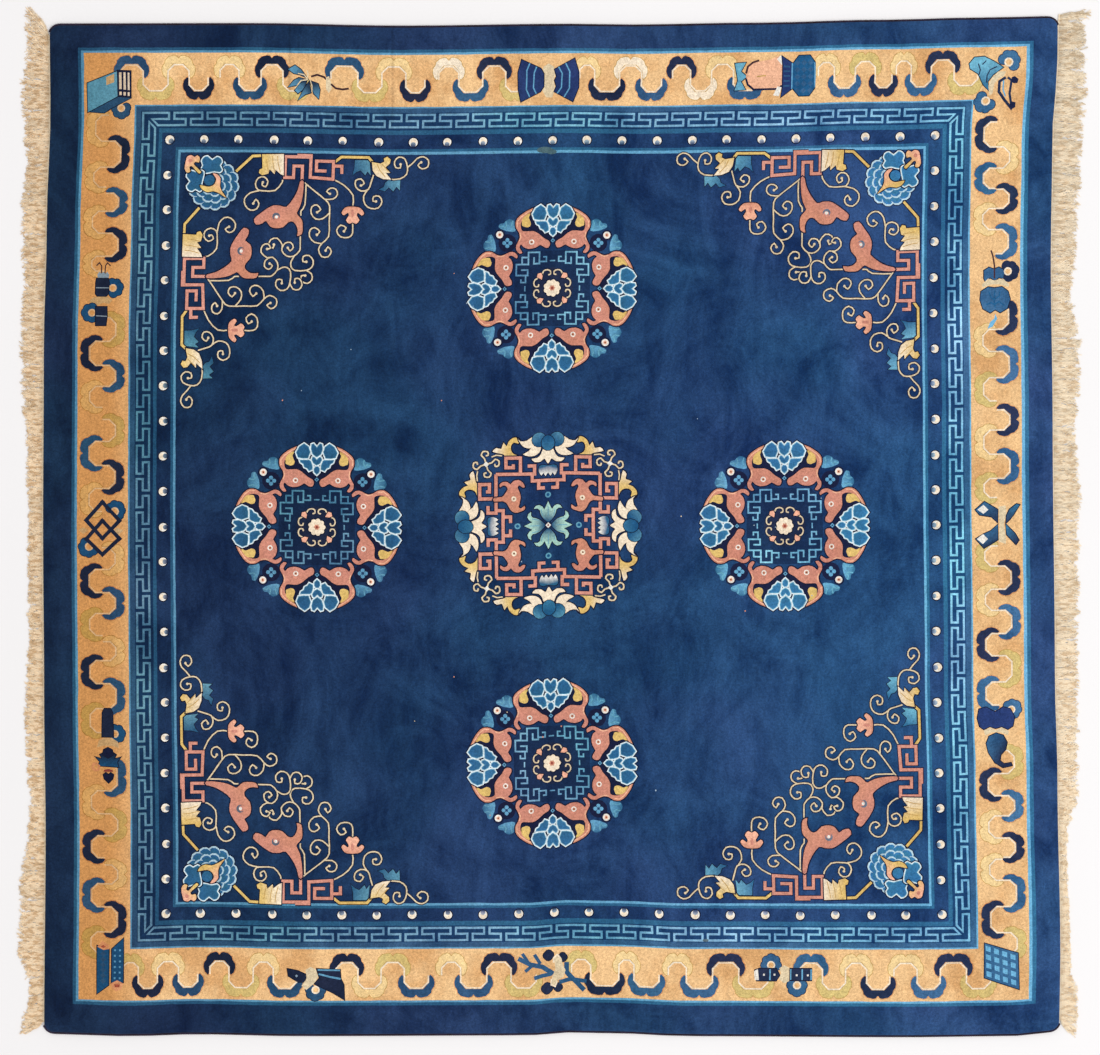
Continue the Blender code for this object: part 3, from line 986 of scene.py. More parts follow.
DRAGON_HEAD = (
    (-2.8, 44.4), (-4.4, 40.7), (-8.2, 41.0), (-12.6, 43.6), (-17.5, 40.8), (-24.0, 39.8),
    (-29.4, 41.8), (-31.9, 44.4), (-33.4, 41.6), (-31.8, 38.4), (-30.4, 36.0), (-33.2, 35.2),
    (-36.4, 38.6), (-36.8, 43.2), (-34.6, 47.4), (-33.2, 51.6), (-34.2, 56.4), (-37.0, 61.0),
    (-37.2, 67.4), (-33.2, 73.0), (-25.4, 78.2), (-18.0, 81.4), (-13.6, 82.4), (-15.4, 79.6),
    (-22.4, 76.6), (-28.6, 71.8), (-32.0, 66.4), (-32.2, 61.0), (-30.4, 57.6), (-26.0, 57.4),
    (-20.0, 57.6), (-14.6, 55.0), (-9.0, 50.2), (-4.4, 47.6),
)
GOLD_HOOK = (
    (-31.2, 63.6), (-31.0, 69.6), (-26.6, 73.8), (-21.8, 76.0), (-24.2, 71.8), (-23.6, 69.0),
    (-22.2, 65.6), (-23.2, 62.2), (-26.6, 61.2), (-29.6, 62.4),
)
LOTUS_SIDE = (
    (-19.8, 72.8), (-16.6, 78.6), (-11.4, 82.0), (-6.6, 78.4), (-5.0, 73.0), (-6.8, 68.0),
    (-7.4, 66.6), (-13.0, 66.4), (-17.8, 67.4),
)
LOTUS_TOP = whole((
    (0.0, 67.4), (-4.6, 70.8), (-6.2, 76.0), (-5.6, 81.0), (-2.6, 82.0), (0.0, 79.0),
))
LOTUS_WING = (
    (-16.8, 66.8), (-15.6, 63.2), (-13.0, 61.6), (-12.0, 58.8), (-9.4, 57.6), (-7.4, 54.8),
    (-3.0, 56.8), (-3.0, 61.0), (-4.6, 65.6), (-6.4, 66.8),
)
LOTUS_HEART = whole((
    (0.0, 60.2), (-3.6, 62.2), (-5.6, 66.0), (-4.6, 69.2), (-2.0, 69.8), (0.0, 67.6),
))
LOTUS_TIP = whole(((0.0, 51.4), (-3.2, 54.4), (-3.8, 58.0), (-2.0, 60.6), (0.0, 62.0)))
TUFT = (
    (-37.6, 57.6), (-44.0, 57.4), (-49.4, 58.8), (-54.4, 61.6), (-53.2, 65.0), (-49.4, 65.6),
    (-47.4, 68.2), (-43.6, 69.8), (-39.8, 68.4), (-37.8, 65.0),
)
FRET_HOOKS = (
    ((18.6, 31.4), (18.6, 24.8), (13.2, 24.8), (13.2, 36.2), (24.2, 36.2), (24.2, 24.2),
     (36.2, 24.2), (36.2, 13.2), (24.8, 13.2), (24.8, 18.6), (31.4, 18.6)),
    ((24.4, 30.6), (31.2, 30.6), (31.2, 24.4)),
)
FRET_BRACKET = ((13.0, 26.8), (6.2, 26.8), (6.2, 31.4), (9.4, 31.4))


MEDALLION_WELL = (
    (38, 26), (26, 38), (-26, 38), (-38, 26), (-38, -26), (-26, -38), (26, -38), (38, -26),
)
MEDALLION_ARCH = ((0, 80), (-18, 79), (-31, 71), (-33, 60), (-20, 55), (-6, 47), (0, 45))
TUFT_VEINS = (
    ((-40, 59), (-41.5, 64), (-40.4, 68)), ((-49, 60), (-46.6, 63.4), (-47.4, 67.6)),
    ((-54, 62), (-50.4, 63), (-48, 61)),
)
HEAD_LIGHTS = (
    ((-33.6, 47.8), (-32.2, 51.6), (-33.0, 56.0)),
    ((-35.6, 61.6), (-35.8, 67.0), (-32.2, 71.6), (-24.8, 76.6), (-17.8, 80.0)),
)
TENDRIL = ((10.6, 13.4), (8.6, 17.2), (5.0, 18.4), (1.9, 17.0), (1.9, 14.0), (4.2, 13.4))
ROSE_BUD = ((8.6, 10.4), (12.4, 9.8), (15.4, 11.2), (14.6, 14.6), (11.2, 15.4), (9.8, 12.4))
# A petal's white edge: how far it stands out, and how far in its light and its body start.
EDGE_OUT = 0.25
LIGHT_IN = 0.75
BODY_IN = 1.35


def white_edged(outline, near, far, start, end):
    """A petal with a white edge, shaded from one dye to another."""
    outline = oriented(outline)
    return [
        (grown(outline, EDGE_OUT), "rim"), (grown(outline, -LIGHT_IN), "lid"),
        (grown(outline, -BODY_IN), (near, far, start, end)),
    ]


def draw_tufts(cartoon, origin, turn):
    """Two leafy tufts on the rim with a four-petalled flower and a bead between them."""
    for mirror in (False, True):
        move = placed(origin, turn, mirror)
        cartoon.motif([(smooth(TUFT, steps=2), ("teal", "sky", (-47, 70), (-46, 58)))], move, 0.0)
        cartoon.lines(TUFT_VEINS, 1.2, "lid", move, 0)
    corner = placed(origin, turn)
    cartoon.rounds(-45.6, 45.8, corner, (9.0, 18, "ink"))
    cartoon.rounds(-53.4, 54.2, corner, (5.4, 14, "ink"))
    for dx, dy in ((3, 0), (-3, 0), (0, 3), (0, -3)):
        cartoon.rounds(-45.6 + dx, 45.8 + dy, corner, (2.1, 8, "sky"))
    cartoon.rounds(-45.6, 45.8, corner, (1.3, 8, "field"))
    cartoon.rounds(-53.4, 54.2, corner, (3.6, 12, "white"), (1.9, 10, "peach"), (0.9, 8, "brown"))


def draw_facing_heads(cartoon, origin, turn):
    """Two dragon heads, each with a gold hook behind it, that face each other."""
    for mirror in (False, True):
        move = placed(origin, turn, mirror)
        head = smooth(DRAGON_HEAD, steps=2)
        cartoon.motif([(head, ("salmon", "flesh", (-30, 45), (-20, 80)))], move, 1.2)
        cartoon.lines(HEAD_LIGHTS, 1.0, "blush", move, 0)
        cartoon.motif([(smooth(GOLD_HOOK, steps=2), "leaf")], move, 0.0)
        cartoon.rounds(-21.2, 46.6, move, (2.7, 10, "white"), (1.6, 8, "flesh"), (0.8, 6, "brown"))


def draw_lotus(cartoon, origin, turn):
    """A lotus on the rim: tip, wings, side petals, heart and top, each with a white edge."""
    petals = white_edged(LOTUS_TIP, "petal", "teal", (0, 60), (0, 52))
    for side in (LOTUS_WING, flipped(LOTUS_WING)):
        petals += white_edged(side, "petal", "pool", (0, 68), (0, 54))
    for side in (LOTUS_SIDE, flipped(LOTUS_SIDE)):
        petals += white_edged(side, "petal", "teal", (0, 82), (0, 66))
    petals += white_edged(LOTUS_HEART, "petal", "teal", (0, 70), (0, 60))
    petals += white_edged(LOTUS_TOP, "petal", "teal", (0, 82), (0, 68))
    larger = placed(placed(origin, turn)((0.0, -5.5)), turn, False, (1.1, 1.1))
    cartoon.motif(petals[::3], larger, 1.0)
    cartoon.motif(petals, larger, 0.0)


def draw_square_fret(cartoon, origin, turn):
    """One side of the fret round the rosette, with a diamond over it and two tendrils in it."""
    quarter = placed(origin, turn)
    cartoon.rounds(0, 47.6, quarter, (2.2, 4, "sky"), (1.0, 4, "navy"))
    for mirror in (False, True):
        cartoon.lines([FRET_BRACKET], 1.5, "fret", placed(origin, turn, mirror), 0)
    cartoon.lines(FRET_HOOKS, 1.6, "fret", quarter, 0)
    cartoon.lines([((-2.6, 27.4), (2.6, 27.4))], 1.3, "fret", quarter, 0)
    tendrils = [
        smooth([(sign * x, y) for x, y in TENDRIL], closed=False, steps=2) for sign in (-1, 1)
    ]
    cartoon.lines(tendrils, 1.3, "straw", quarter, 0.9)


def draw_medallion(cartoon, origin):
    """Eight dragon heads in facing pairs round a square fret and a rosette, four lotuses on the rim."""
    middle = placed(origin)
    cartoon.lay(MEDALLION_WELL, "well", middle)
    cartoon.lay(lobed(0, 0, 21, 8, 0.1), "navy", middle)
    for turn in range(4):
        cartoon.lay(list(MEDALLION_ARCH) + flipped(MEDALLION_ARCH), "ink", placed(origin, turn))
    for turn in range(4):
        draw_tufts(cartoon, origin, turn)
    for turn in range(4):
        draw_facing_heads(cartoon, origin, turn)
        draw_lotus(cartoon, origin, turn)
        draw_square_fret(cartoon, origin, turn)
    for turn in range(4):
        cartoon.motif([(ROSE_BUD, "peach")], placed(origin, turn), 0.8)
    cartoon.motif([(lobed(0, 0, 8.8, 9, 0.16), "cream")], middle, 1.0)
    cartoon.lay(lobed(0, 0, 3.0, 6, 0.3), "flesh", middle)
    cartoon.rounds(0, 0, middle, (1.4, 8, "rust"))


# --- the middle medallion ---

MIDDLE_HEAD = (
    (-47.9, 39.0), (-48.2, 42.0), (-44.6, 44.4), (-40.4, 44.2), (-37.6, 42.0), (-34.6, 45.2),
    (-29.4, 46.2), (-25.2, 43.4), (-23.2, 39.2), (-25.6, 38.8), (-28.8, 41.0), (-30.4, 38.4),
    (-28.2, 33.4), (-27.4, 28.0), (-28.6, 22.6), (-29.6, 19.2), (-27.0, 17.8), (-23.4, 20.4),
    (-23.4, 16.8), (-27.4, 14.6), (-33.4, 13.6), (-38.0, 17.0), (-40.8, 22.4), (-45.2, 25.2),
    (-54.0, 24.8), (-54.0, 28.6), (-46.0, 29.4), (-42.6, 33.2), (-40.2, 37.2), (-42.2, 40.4),
    (-45.4, 40.6),
)
GOLD_ARCH = (
    (-28.0, 69.2), (-42.6, 68.4), (-43.6, 71.6), (-49.0, 73.2), (-55.4, 74.8), (-51.8, 78.4),
    (-47.2, 77.4), (-46.0, 79.0), (-44.4, 83.6), (-41.4, 79.8), (-39.4, 84.6), (-34.8, 88.4),
    (-30.6, 88.4), (-27.8, 85.6), (-29.8, 82.6), (-34.0, 83.8), (-37.0, 80.6), (-36.8, 75.6),
    (-33.8, 72.0),
)
CREAM_SWEEP = (
    (-30.6, 87.8), (-27.4, 84.8), (-21.0, 85.6), (-14.6, 89.6), (-12.0, 84.0), (-14.4, 79.4),
    (-19.0, 77.6), (-24.4, 79.4), (-27.2, 82.4),
)
CREAM_FOOT = (
    (-25.0, 71.8), (-19.4, 75.0), (-14.8, 80.4), (-9.6, 83.0), (-7.0, 79.0), (-8.6, 73.6),
    (-13.0, 70.4), (-19.0, 69.8),
)
LOTUS_FOOT = whole((
    (0.0, 77.0), (5.2, 76.4), (7.0, 71.6), (10.6, 68.0), (16.4, 67.2), (13.2, 63.8),
    (7.6, 64.0), (3.6, 66.8), (2.0, 64.4), (0.0, 61.8),
))
HALF_STAR = (
    (-1.2, 3.4), (-4.0, 6.0), (-6.2, 9.0), (-7.8, 12.6), (-8.2, 15.4), (-10.6, 17.2),
    (-14.2, 17.0), (-12.2, 19.8), (-8.8, 20.8), (-5.8, 19.0), (-3.8, 15.8), (-2.6, 18.6),
)
STAR_PETAL = (*HALF_STAR, (0.0, 24.0), *flipped(HALF_STAR))
FLAME_CUP = whole((
    (0.0, 59.8), (4.4, 60.6), (8.6, 59.6), (9.2, 54.6), (6.6, 49.8), (4.6, 52.6),
    (2.6, 49.4), (0.0, 52.8),
))
MIDDLE_FRET = (
    ((-52.0, 52.0), (-15.8, 52.0), (-15.8, 45.0), (0.0, 45.0)),
    ((-9.4, 45.0), (-9.4, 37.6), (-3.2, 37.6)),
    ((-13.4, 50.4), (-13.4, 60.0), (-20.4, 60.0)),
    ((-27.6, 52.0), (-27.6, 68.2), (-42.0, 68.2), (-42.0, 58.6), (-34.6, 58.6), (-34.6, 62.0)),
)


CORNER_SIGNS = ((1, 1), (-1, 1), (1, -1), (-1, -1))
PINWHEEL_CURL = (
    (1.4, 0.4), (5.6, 1.6), (9.0, 5.0), (12.8, 3.0), (12.4, -1.4), (9.2, -2.0), (8.6, 0.4),
)
PINWHEEL_STALKS = (
    ((-56.4, 69.4), (-51.6, 71.2), (-46.0, 70.6)), ((-70.4, 55.4), (-71.2, 51.0), (-70.6, 45.4)),
)
STAR_VEINS = (((-5.6, 9.6), (-7.0, 16.2)), ((0, 9.0), (0, 19.0)), ((5.6, 9.6), (7.0, 16.2)))


def draw_middle_rim(cartoon, origin):
    """Gold arches, cream sweeps and blue buds, a quarter of the rim at a time."""
    for turn in range(4):
        for mirror in (False, True):
            move = placed(origin, turn, mirror)
            arch = smooth(GOLD_ARCH, steps=2)
            cartoon.motif([(arch, ("cream", "leaf", (-52, 78), (-40, 76)))], move, 1.2)
            cartoon.motif([(smooth(CREAM_SWEEP, steps=2), "cream"),
                           (smooth(CREAM_FOOT, steps=2), "cream")], move, 1.1)
        quarter = placed(origin, turn)
        cartoon.motif([(smooth(LOTUS_FOOT, steps=2), "cream")], quarter, 1.1)
        for x in (-8.8, 8.8):
            shades = ("deep", "lid", (x * 0.8, 83), (x * 2.1, 98))
            cartoon.motif([(disc(x, 86.0, 7.2, 14), shades)], quarter, 0.6)
        shades = ("pool", "deep", (0, 76), (0, 88))
        cartoon.motif([(disc(0, 82.6, 6.6, 14, 1.15), shades)], quarter, 0.7)


def draw_stepped_fret(cartoon, origin):
    """The rose fret, mirrored in both axes and the diagonal, and the four cups over it."""
    move = placed(origin)
    paths = []
    for path in MIDDLE_FRET:
        for swap in (False, True):
            for sx, sy in ((1, 1), (-1, 1), (-1, -1), (1, -1)):
                paths.append([
                    move((-y * sy, -x * sx) if swap else (x * sx, y * sy)) for x, y in path
                ])
    cartoon.lines(paths, 3.2, "rose", None, 1.1)
    for turn in range(4):
        cup = smooth(FLAME_CUP, steps=2)
        cartoon.motif([(cup, ("white", "teal", (0, 51.5), (0, 57.5)))], placed(origin, turn), 0.8)


def draw_middle_corner(cartoon, origin, signs):
    """A dragon head, and past it on the diagonal a pinwheel of curls with its two stalks."""
    move = placed(origin, scale=signs)
    head = smooth(MIDDLE_HEAD, steps=2)
    cartoon.motif([(head, ("salmon", "flesh", (-38, 44), (-34, 18)))], move, 1.2)
    cartoon.rounds(-34.2, 27.4, move, (2.7, 10, "cream"), (1.0, 8, "brown"))
    spot = placed(move((-61.8, 62.2)), scale=signs)
    curls = []
    for turn in range(4):
        turned = placed((0, 0), turn)
        curls.append([spot(turned(p)) for p in smooth(PINWHEEL_CURL, False, 2)])
    cartoon.lines(curls, 1.5, "straw", None, 0.9)
    cartoon.lines(PINWHEEL_STALKS, 1.3, "straw", move, 0.8)
    cartoon.rounds(0, 0, spot, (2.9, 4, "white"))


def draw_middle_medallion(cartoon, origin):
    """A star flower and four dragon heads in a stepped fret, ringed by buds, leaves and pinwheels."""
    middle = placed(origin)
    cartoon.rounds(0, 0, middle, (60, 32, "field"))
    draw_middle_rim(cartoon, origin)
    draw_stepped_fret(cartoon, origin)
    for signs in CORNER_SIGNS:
        draw_middle_corner(cartoon, origin, signs)
    for turn in range(4):
        quarter = placed(origin, turn)
        cartoon.motif([(STAR_PETAL, ("deep", "mint", (0, 5), (0, 14)))], quarter, 0.9)
        cartoon.lines(STAR_VEINS, 0.7, "lid", quarter, 0)
        cartoon.rounds(0, 30.6, quarter, (3.0, 12, "lid"), (1.6, 8, "deep"))
    cartoon.rounds(0, 0, middle, (3.6, 10, "ink"), (2.8, 4, "white"), (1.2, 4, "rust"))


# --- the corner sprays, drawn for one arm in knots along the field's edge and in from it ---

SPRAY_HEAD = (
    (93.9, 54.4), (87.1, 57.7), (80.4, 62.8), (74.3, 68.2), (76.6, 73.6), (82.6, 72.4),
    (86.6, 69.8), (90.5, 75.2), (96.4, 77.0), (103.6, 75.8), (108.8, 70.8), (113.6, 70.2),
    (117.4, 74.8), (118.4, 80.0), (117.8, 84.4), (122.4, 82.4), (123.4, 75.0), (122.6, 68.8),
    (119.6, 64.8), (117.2, 61.4), (120.6, 54.0), (122.6, 44.0), (123.2, 30.0), (119.6, 30.0),
    (117.6, 38.4), (113.6, 46.8), (106.8, 55.6), (101.0, 54.6),
)
SPRAY_FRET = (
    ((128.6, 5.4), (104.0, 5.4), (104.0, 26.2), (112.8, 26.2), (112.8, 14.6), (121.4, 14.6),
     (121.4, 32.0)),
    ((116.0, 3.9), (129.6, 3.9), (129.6, 25.6), (152.4, 27.0), (152.4, 9.2), (135.4, 9.2),
     (135.4, 19.0), (145.6, 19.0)),
    ((152.4, 13.8), (161.0, 13.8), (161.0, 21.4)),
)
SPRAY_STEMS = (
    ((55.0, 20.6), (71.0, 5.2), (86.0, 4.4)),
    ((153.0, 10.2), (160.2, 4.6), (187.6, 4.6), (193.4, 11.6)),
)
SPRAY_LEAF = (
    (80.4, 3.4), (102.2, 2.8), (102.8, 24.2), (99.6, 23.0), (94.4, 18.6), (93.6, 23.0),
    (88.4, 18.4), (87.4, 22.6), (81.4, 24.4), (77.8, 22.0), (78.6, 18.6), (81.2, 17.4),
)
SPRAY_LEAF_END = (
    (190.8, 9.0), (199.6, 10.6), (203.4, 8.8), (202.8, 5.4), (206.2, 3.6), (209.6, 6.4),
    (209.0, 10.4), (204.6, 14.4), (209.8, 19.6), (205.4, 20.0), (211.0, 26.6), (203.0, 26.0),
    (196.0, 23.0), (192.2, 17.6),
)
BLUE_LEAVES = (
    (((173.8, 7.4), (188.4, 7.4), (190.2, 22.6), (186.8, 18.6), (184.8, 22.6), (179.8, 17.6),
      (175.4, 19.6), (171.6, 23.2), (173.6, 15.0)), (172, 20), (190, 14)),
    (((208.4, 27.0), (220.2, 26.2), (219.8, 37.4), (216.6, 33.6), (213.4, 38.4), (208.6, 34.2),
      (205.0, 38.4), (198.4, 36.6), (203.8, 33.8), (205.0, 29.6)), (200, 36), (219, 30)),
)
SPRAY_BUD = (
    (170.6, 54.0), (176.0, 54.0), (181.0, 55.4), (184.8, 60.4), (182.2, 62.8), (178.6, 60.0),
    (177.4, 62.8), (180.2, 67.2), (176.8, 71.2), (173.4, 69.8), (170.0, 71.2), (166.6, 67.4),
    (169.4, 62.8), (168.4, 60.2), (164.6, 62.8), (162.2, 60.2), (165.6, 55.2),
)
TENDRILS = (
    ((102.6, 23.0), (101.6, 31.0), (94.7, 39.4), (84.0, 39.8), (77.6, 39.0), (74.8, 33.0),
     (77.6, 27.0), (83.4, 26.0), (87.4, 30.4), (85.2, 35.8), (81.6, 34.0), (82.2, 31.4)),
    ((79.0, 39.8), (70.0, 42.0), (64.6, 47.6), (65.2, 54.4), (70.6, 59.4), (76.8, 57.8),
     (79.0, 52.6), (75.8, 48.6), (73.4, 52.6)),
    ((152.6, 27.2), (163.8, 32.8), (173.2, 42.8), (173.2, 54.0)),
    ((173.4, 71.0), (173.4, 80.4), (169.6, 84.8), (161.4, 84.4), (157.4, 78.4), (161.4, 72.8),
     (166.8, 75.2), (164.8, 78.8)),
    ((121.8, 29.0), (127.2, 33.6), (136.4, 40.6), (145.2, 47.4), (150.0, 54.0), (149.8, 70.0),
     (149.4, 84.4), (142.6, 91.4), (139.4, 97.4), (142.6, 104.4), (149.0, 104.6),
     (152.2, 99.0), (148.8, 94.8), (146.6, 98.4)),
    ((144.6, 47.2), (153.2, 46.8), (157.6, 42.2), (155.6, 36.8), (150.2, 36.0), (146.8, 39.4),
     (150.0, 41.6)),
    ((149.8, 61.0), (143.4, 66.6), (136.2, 67.0), (131.6, 61.4), (132.2, 55.0), (137.2, 53.0),
     (141.0, 57.4), (137.6, 60.4)),
    ((142.8, 91.4), (135.2, 90.4), (130.2, 84.6), (130.8, 78.2), (135.4, 75.8), (140.4, 79.4),
     (137.6, 83.0)),
    ((125.6, 33.4), (125.2, 53.0), (121.4, 59.4), (121.4, 64.0)),
    ((121.0, 82.0), (121.0, 95.0), (120.2, 99.4), (114.6, 104.8), (107.6, 104.6), (102.6, 99.4),
     (103.0, 93.6), (97.8, 87.0), (91.4, 88.6), (89.6, 94.0), (93.6, 97.0), (94.6, 93.4)),
    ((103.2, 96.0), (105.8, 91.8), (111.4, 91.0), (114.2, 95.8), (110.8, 99.4), (108.6, 96.4)),
    ((115.0, 104.6), (112.2, 109.8), (112.2, 115.2), (116.4, 119.0), (127.0, 118.6),
     (133.0, 115.4), (134.4, 108.8), (130.0, 103.6), (124.2, 104.8), (124.0, 109.8),
     (127.4, 110.0)),
    ((127.4, 118.6), (132.8, 122.0), (133.4, 128.0), (128.8, 131.6), (123.0, 129.2),
     (122.8, 124.0), (126.6, 123.8)),
    ((193.0, 22.0), (190.6, 30.0), (188.2, 36.6), (181.0, 38.2), (175.6, 34.0), (175.4, 28.0),
     (180.6, 26.2), (184.0, 30.6), (180.8, 32.8)),
    ((187.2, 37.6), (183.8, 43.4), (185.4, 51.6), (191.4, 55.6), (199.0, 54.8), (202.4, 48.6),
     (199.4, 43.2), (194.0, 43.6), (193.4, 48.0), (196.4, 48.4)),
    ((210.4, 26.4), (220.0, 25.8), (226.2, 21.0), (226.8, 13.6), (223.8, 5.8), (217.8, 4.0),
     (213.6, 8.6), (215.0, 14.4), (219.6, 14.8), (219.8, 11.2)),
    ((226.6, 14.6), (231.6, 10.4), (236.4, 5.4), (242.4, 3.6), (247.8, 7.4), (247.2, 13.8),
     (241.4, 15.8), (237.4, 12.2), (240.4, 9.4)),
)
PEONY_PETAL = (
    (20.6, 14.6), (19.2, 10.2), (21.4, 6.0), (26.0, 4.6), (30.4, 8.4), (35.0, 5.2), (39.4, 7.0),
    (41.2, 11.6), (39.2, 14.6), (41.6, 19.0), (38.4, 22.4), (33.0, 21.4), (27.0, 22.8),
    (20.8, 23.0), (18.8, 18.8),
)
PEONY_HEART = (33.0, 34.0)
# Rings of scales: how far out, their size, the angle from the first to the last, how many.
PEONY_RINGS = ((19.8, 6.3, -72, 162, 10), (13.4, 5.8, -60, 150, 7), (7.4, 5.2, -50, 140, 4))
# A scale's layers: how far out each is shifted, how much smaller it is, its dye.
SCALE_SHADES = ((0, 0, "foam"), (-1.7, 0.1, "petal"), (-3.0, 1.0, "pool"))
CRESCENT = (
    (31.4, 22.6), (36.0, 23.6), (39.6, 28.0), (39.4, 34.8), (41.0, 40.0), (46.4, 47.4),
    (39.2, 42.8), (33.0, 40.4), (27.0, 41.4), (21.6, 38.8), (19.2, 34.6), (23.4, 35.2),
    (28.6, 36.0), (33.4, 33.6), (35.2, 29.0), (33.8, 25.8),
)
CORNER_BUD = (
    (4.0, 9.4), (5.8, 5.4), (9.6, 4.4), (12.4, 6.2), (15.4, 4.6), (18.0, 7.6), (17.0, 11.8),
    (13.6, 11.0), (12.0, 13.4), (15.8, 17.2), (19.8, 20.8), (17.8, 22.8), (13.6, 19.0),
    (10.0, 15.2), (7.6, 16.6), (9.0, 20.4), (5.8, 21.8), (3.0, 17.8),
)

# By corner: the spray's shift and the length of its upright arm.
SPRAY_SHIFTS = {
    (-1, 1): (-1.7, 3.0, 1.035), (1, 1): (4.0, 5.0, 1.01), (-1, -1): (-3.0, -5.5, 1.01),
    (1, -1): (1.3, -0.5, 1.02),
}


LEAF_VEINS = (
    ((85, 8), (86, 15), (87.4, 21)), ((91, 5), (91.6, 12), (93.6, 21.4)),
    ((96, 5), (96.8, 12), (99.2, 21)),
)
LEAF_END_VEINS = (((196, 11), (199, 17), (205, 24)), ((201, 11), (204, 14), (208, 18.6)))
TENDRIL_WIDTH = 1.35
# An upright arm is a little narrower than one along the front or the back.
UPRIGHT_WIDTH = 0.94


def draw_arm(cartoon, arm):
    """The spray's arm along one edge of the field."""
    for outline, near, far in BLUE_LEAVES:
        cartoon.motif([(outline, ("deep", "lid", near, far))], arm, 0.7)
    cartoon.lines([smooth(path, False, 2) for path in TENDRILS], TENDRIL_WIDTH, "straw", arm, 0.9)
    for path in TENDRILS:
        if math.dist(path[-1], path[-3]) < 8:
            cartoon.rounds(*path[-1], arm, (TENDRIL_WIDTH, 8, "straw"))
    cartoon.motif([(ribbon(path, 2.6), "leaf") for path in SPRAY_STEMS], arm, 1.1)
    cartoon.lines(SPRAY_FRET, 3.0, "rose", arm, 0.9)
    head = smooth(SPRAY_HEAD, steps=2)
    cartoon.motif([(head, ("salmon", "flesh", (90, 58), (104, 76)))], arm, 1.2)
    cartoon.rounds(96.6, 65.4, arm, (3.9, 12, "slate"))
    cartoon.rounds(97.0, 66.8, arm, (2.9, 10, "salmon"))
    cartoon.rounds(96.8, 65.8, arm, (1.7, 8, "white"))
    cartoon.motif([(SPRAY_LEAF, ("leaf", "cream", (84, 10), (101, 12)))], arm, 1.1)
    cartoon.motif([(SPRAY_LEAF_END, ("leaf", "cream", (204, 6), (204, 26)))], arm, 1.1)
    cartoon.lines(LEAF_VEINS, 0.8, "carved_gold", arm, 0)
    cartoon.lines(LEAF_END_VEINS, 0.8, "carved_gold", arm, 0)
    bud = smooth(SPRAY_BUD, steps=2)
    cartoon.motif([(bud, ("flesh", "peach", (173, 52), (173, 64)))], arm, 1.1)
    cartoon.lay(disc(173.2, 60.6, 1.6, 8, 2.4), "salmon", arm)


def draw_peony(cartoon, along, swapped):
    """A peony of scales and two curled petals, with a crescent on it and a bud in the corner."""
    heart_x, heart_y = PEONY_HEART
    scales = []
    for reach, radius, first, last, count in PEONY_RINGS:
        for i in range(count):
            angle = math.radians(first + (last - first) * i / (count - 1))
            scales.append((math.cos(angle), math.sin(angle), reach, radius))
    for x, y, reach, radius in scales:
        cartoon.rounds(heart_x + x * reach, heart_y + y * reach, along, (radius + 1.0, 10, "ink"))
    for x, y, reach, radius in scales:
        for out, less, dye in SCALE_SHADES:
            spot = (heart_x + x * (reach + out), heart_y + y * (reach + out))
            cartoon.rounds(*spot, along, (radius - less, 10, dye))
    for arm in (along, swapped):
        petal = smooth(PEONY_PETAL, steps=2)
        cartoon.motif(white_edged(petal, "petal", "pool", (22, 8), (38, 18)), arm, 1.1)
    cartoon.motif([(disc(28.4, 29.4, 5.4, 14), ("petal", "pool", (25, 25), (31, 34)))], along, 0.5)
    crescent = smooth(CRESCENT, steps=2)
    cartoon.motif([(crescent, ("leaf", "peach", (30, 40), (38, 28)))], along, 0.9)
    bud = smooth(CORNER_BUD, steps=2)
    cartoon.motif([(bud, ("peach", "leaf", (7, 9), (16, 18)))], along, 1.1)
    cartoon.rounds(8.4, 9.8, along, (2.0, 8, "salmon"))


def draw_spray(cartoon, side_x, side_y):
    """One corner of the field: a peony on the diagonal and an arm along each edge."""
    left, right, front, back = BANDS[-1][1]
    shift_x, shift_y, length = SPRAY_SHIFTS[side_x, side_y]
    x0 = ((-HALF_X + left + 3.4) if side_x < 0 else (HALF_X - right - 3.4)) + shift_x
    y0 = ((-HALF_Y + front + 1.4) if side_y < 0 else (HALF_Y - back - 1.4)) + shift_y

    def along(p):
        return (x0 - side_x * p[0], y0 - side_y * p[1])

    def down(p):
        return along((p[1] * UPRIGHT_WIDTH, p[0] * length))

    def swapped(p):
        return along((p[1], p[0]))

    draw_arm(cartoon, along)
    draw_arm(cartoon, down)
    draw_peony(cartoon, along, swapped)


# Place, radius and stretch of each old smudge.
SMUDGES = ((-6.0, 379.5, 8.0, 0.4), (1.0, 377.5, 5.0, 0.5), (152.0, -410.0, 3.0, 0.5))
LINT_TRIES = 26
LINT_REACH = 400


def draw_wear(cartoon):
    """A few old smudges and specks of lint."""
    for x, y, radius, stretch in SMUDGES:
        cartoon.lay(disc(x, y, radius, 14, stretch), "smudge")
    draw = random.Random(8)
    for _ in range(LINT_TRIES):
        x, y = draw.uniform(-330, 330), draw.uniform(-340, 340)
        if abs(x) + abs(y) < LINT_REACH:
            cartoon.lay(disc(x, y, draw.uniform(0.5, 0.9), 6), draw.choice(("haze", "straw", "flesh")))


MEDALLIONS = ((4.0, 241.0), (-231.0, 3.0), (236.0, 3.5), (1.0, -235.0))
MIDDLE_MEDALLION = (0.0, 3.5)


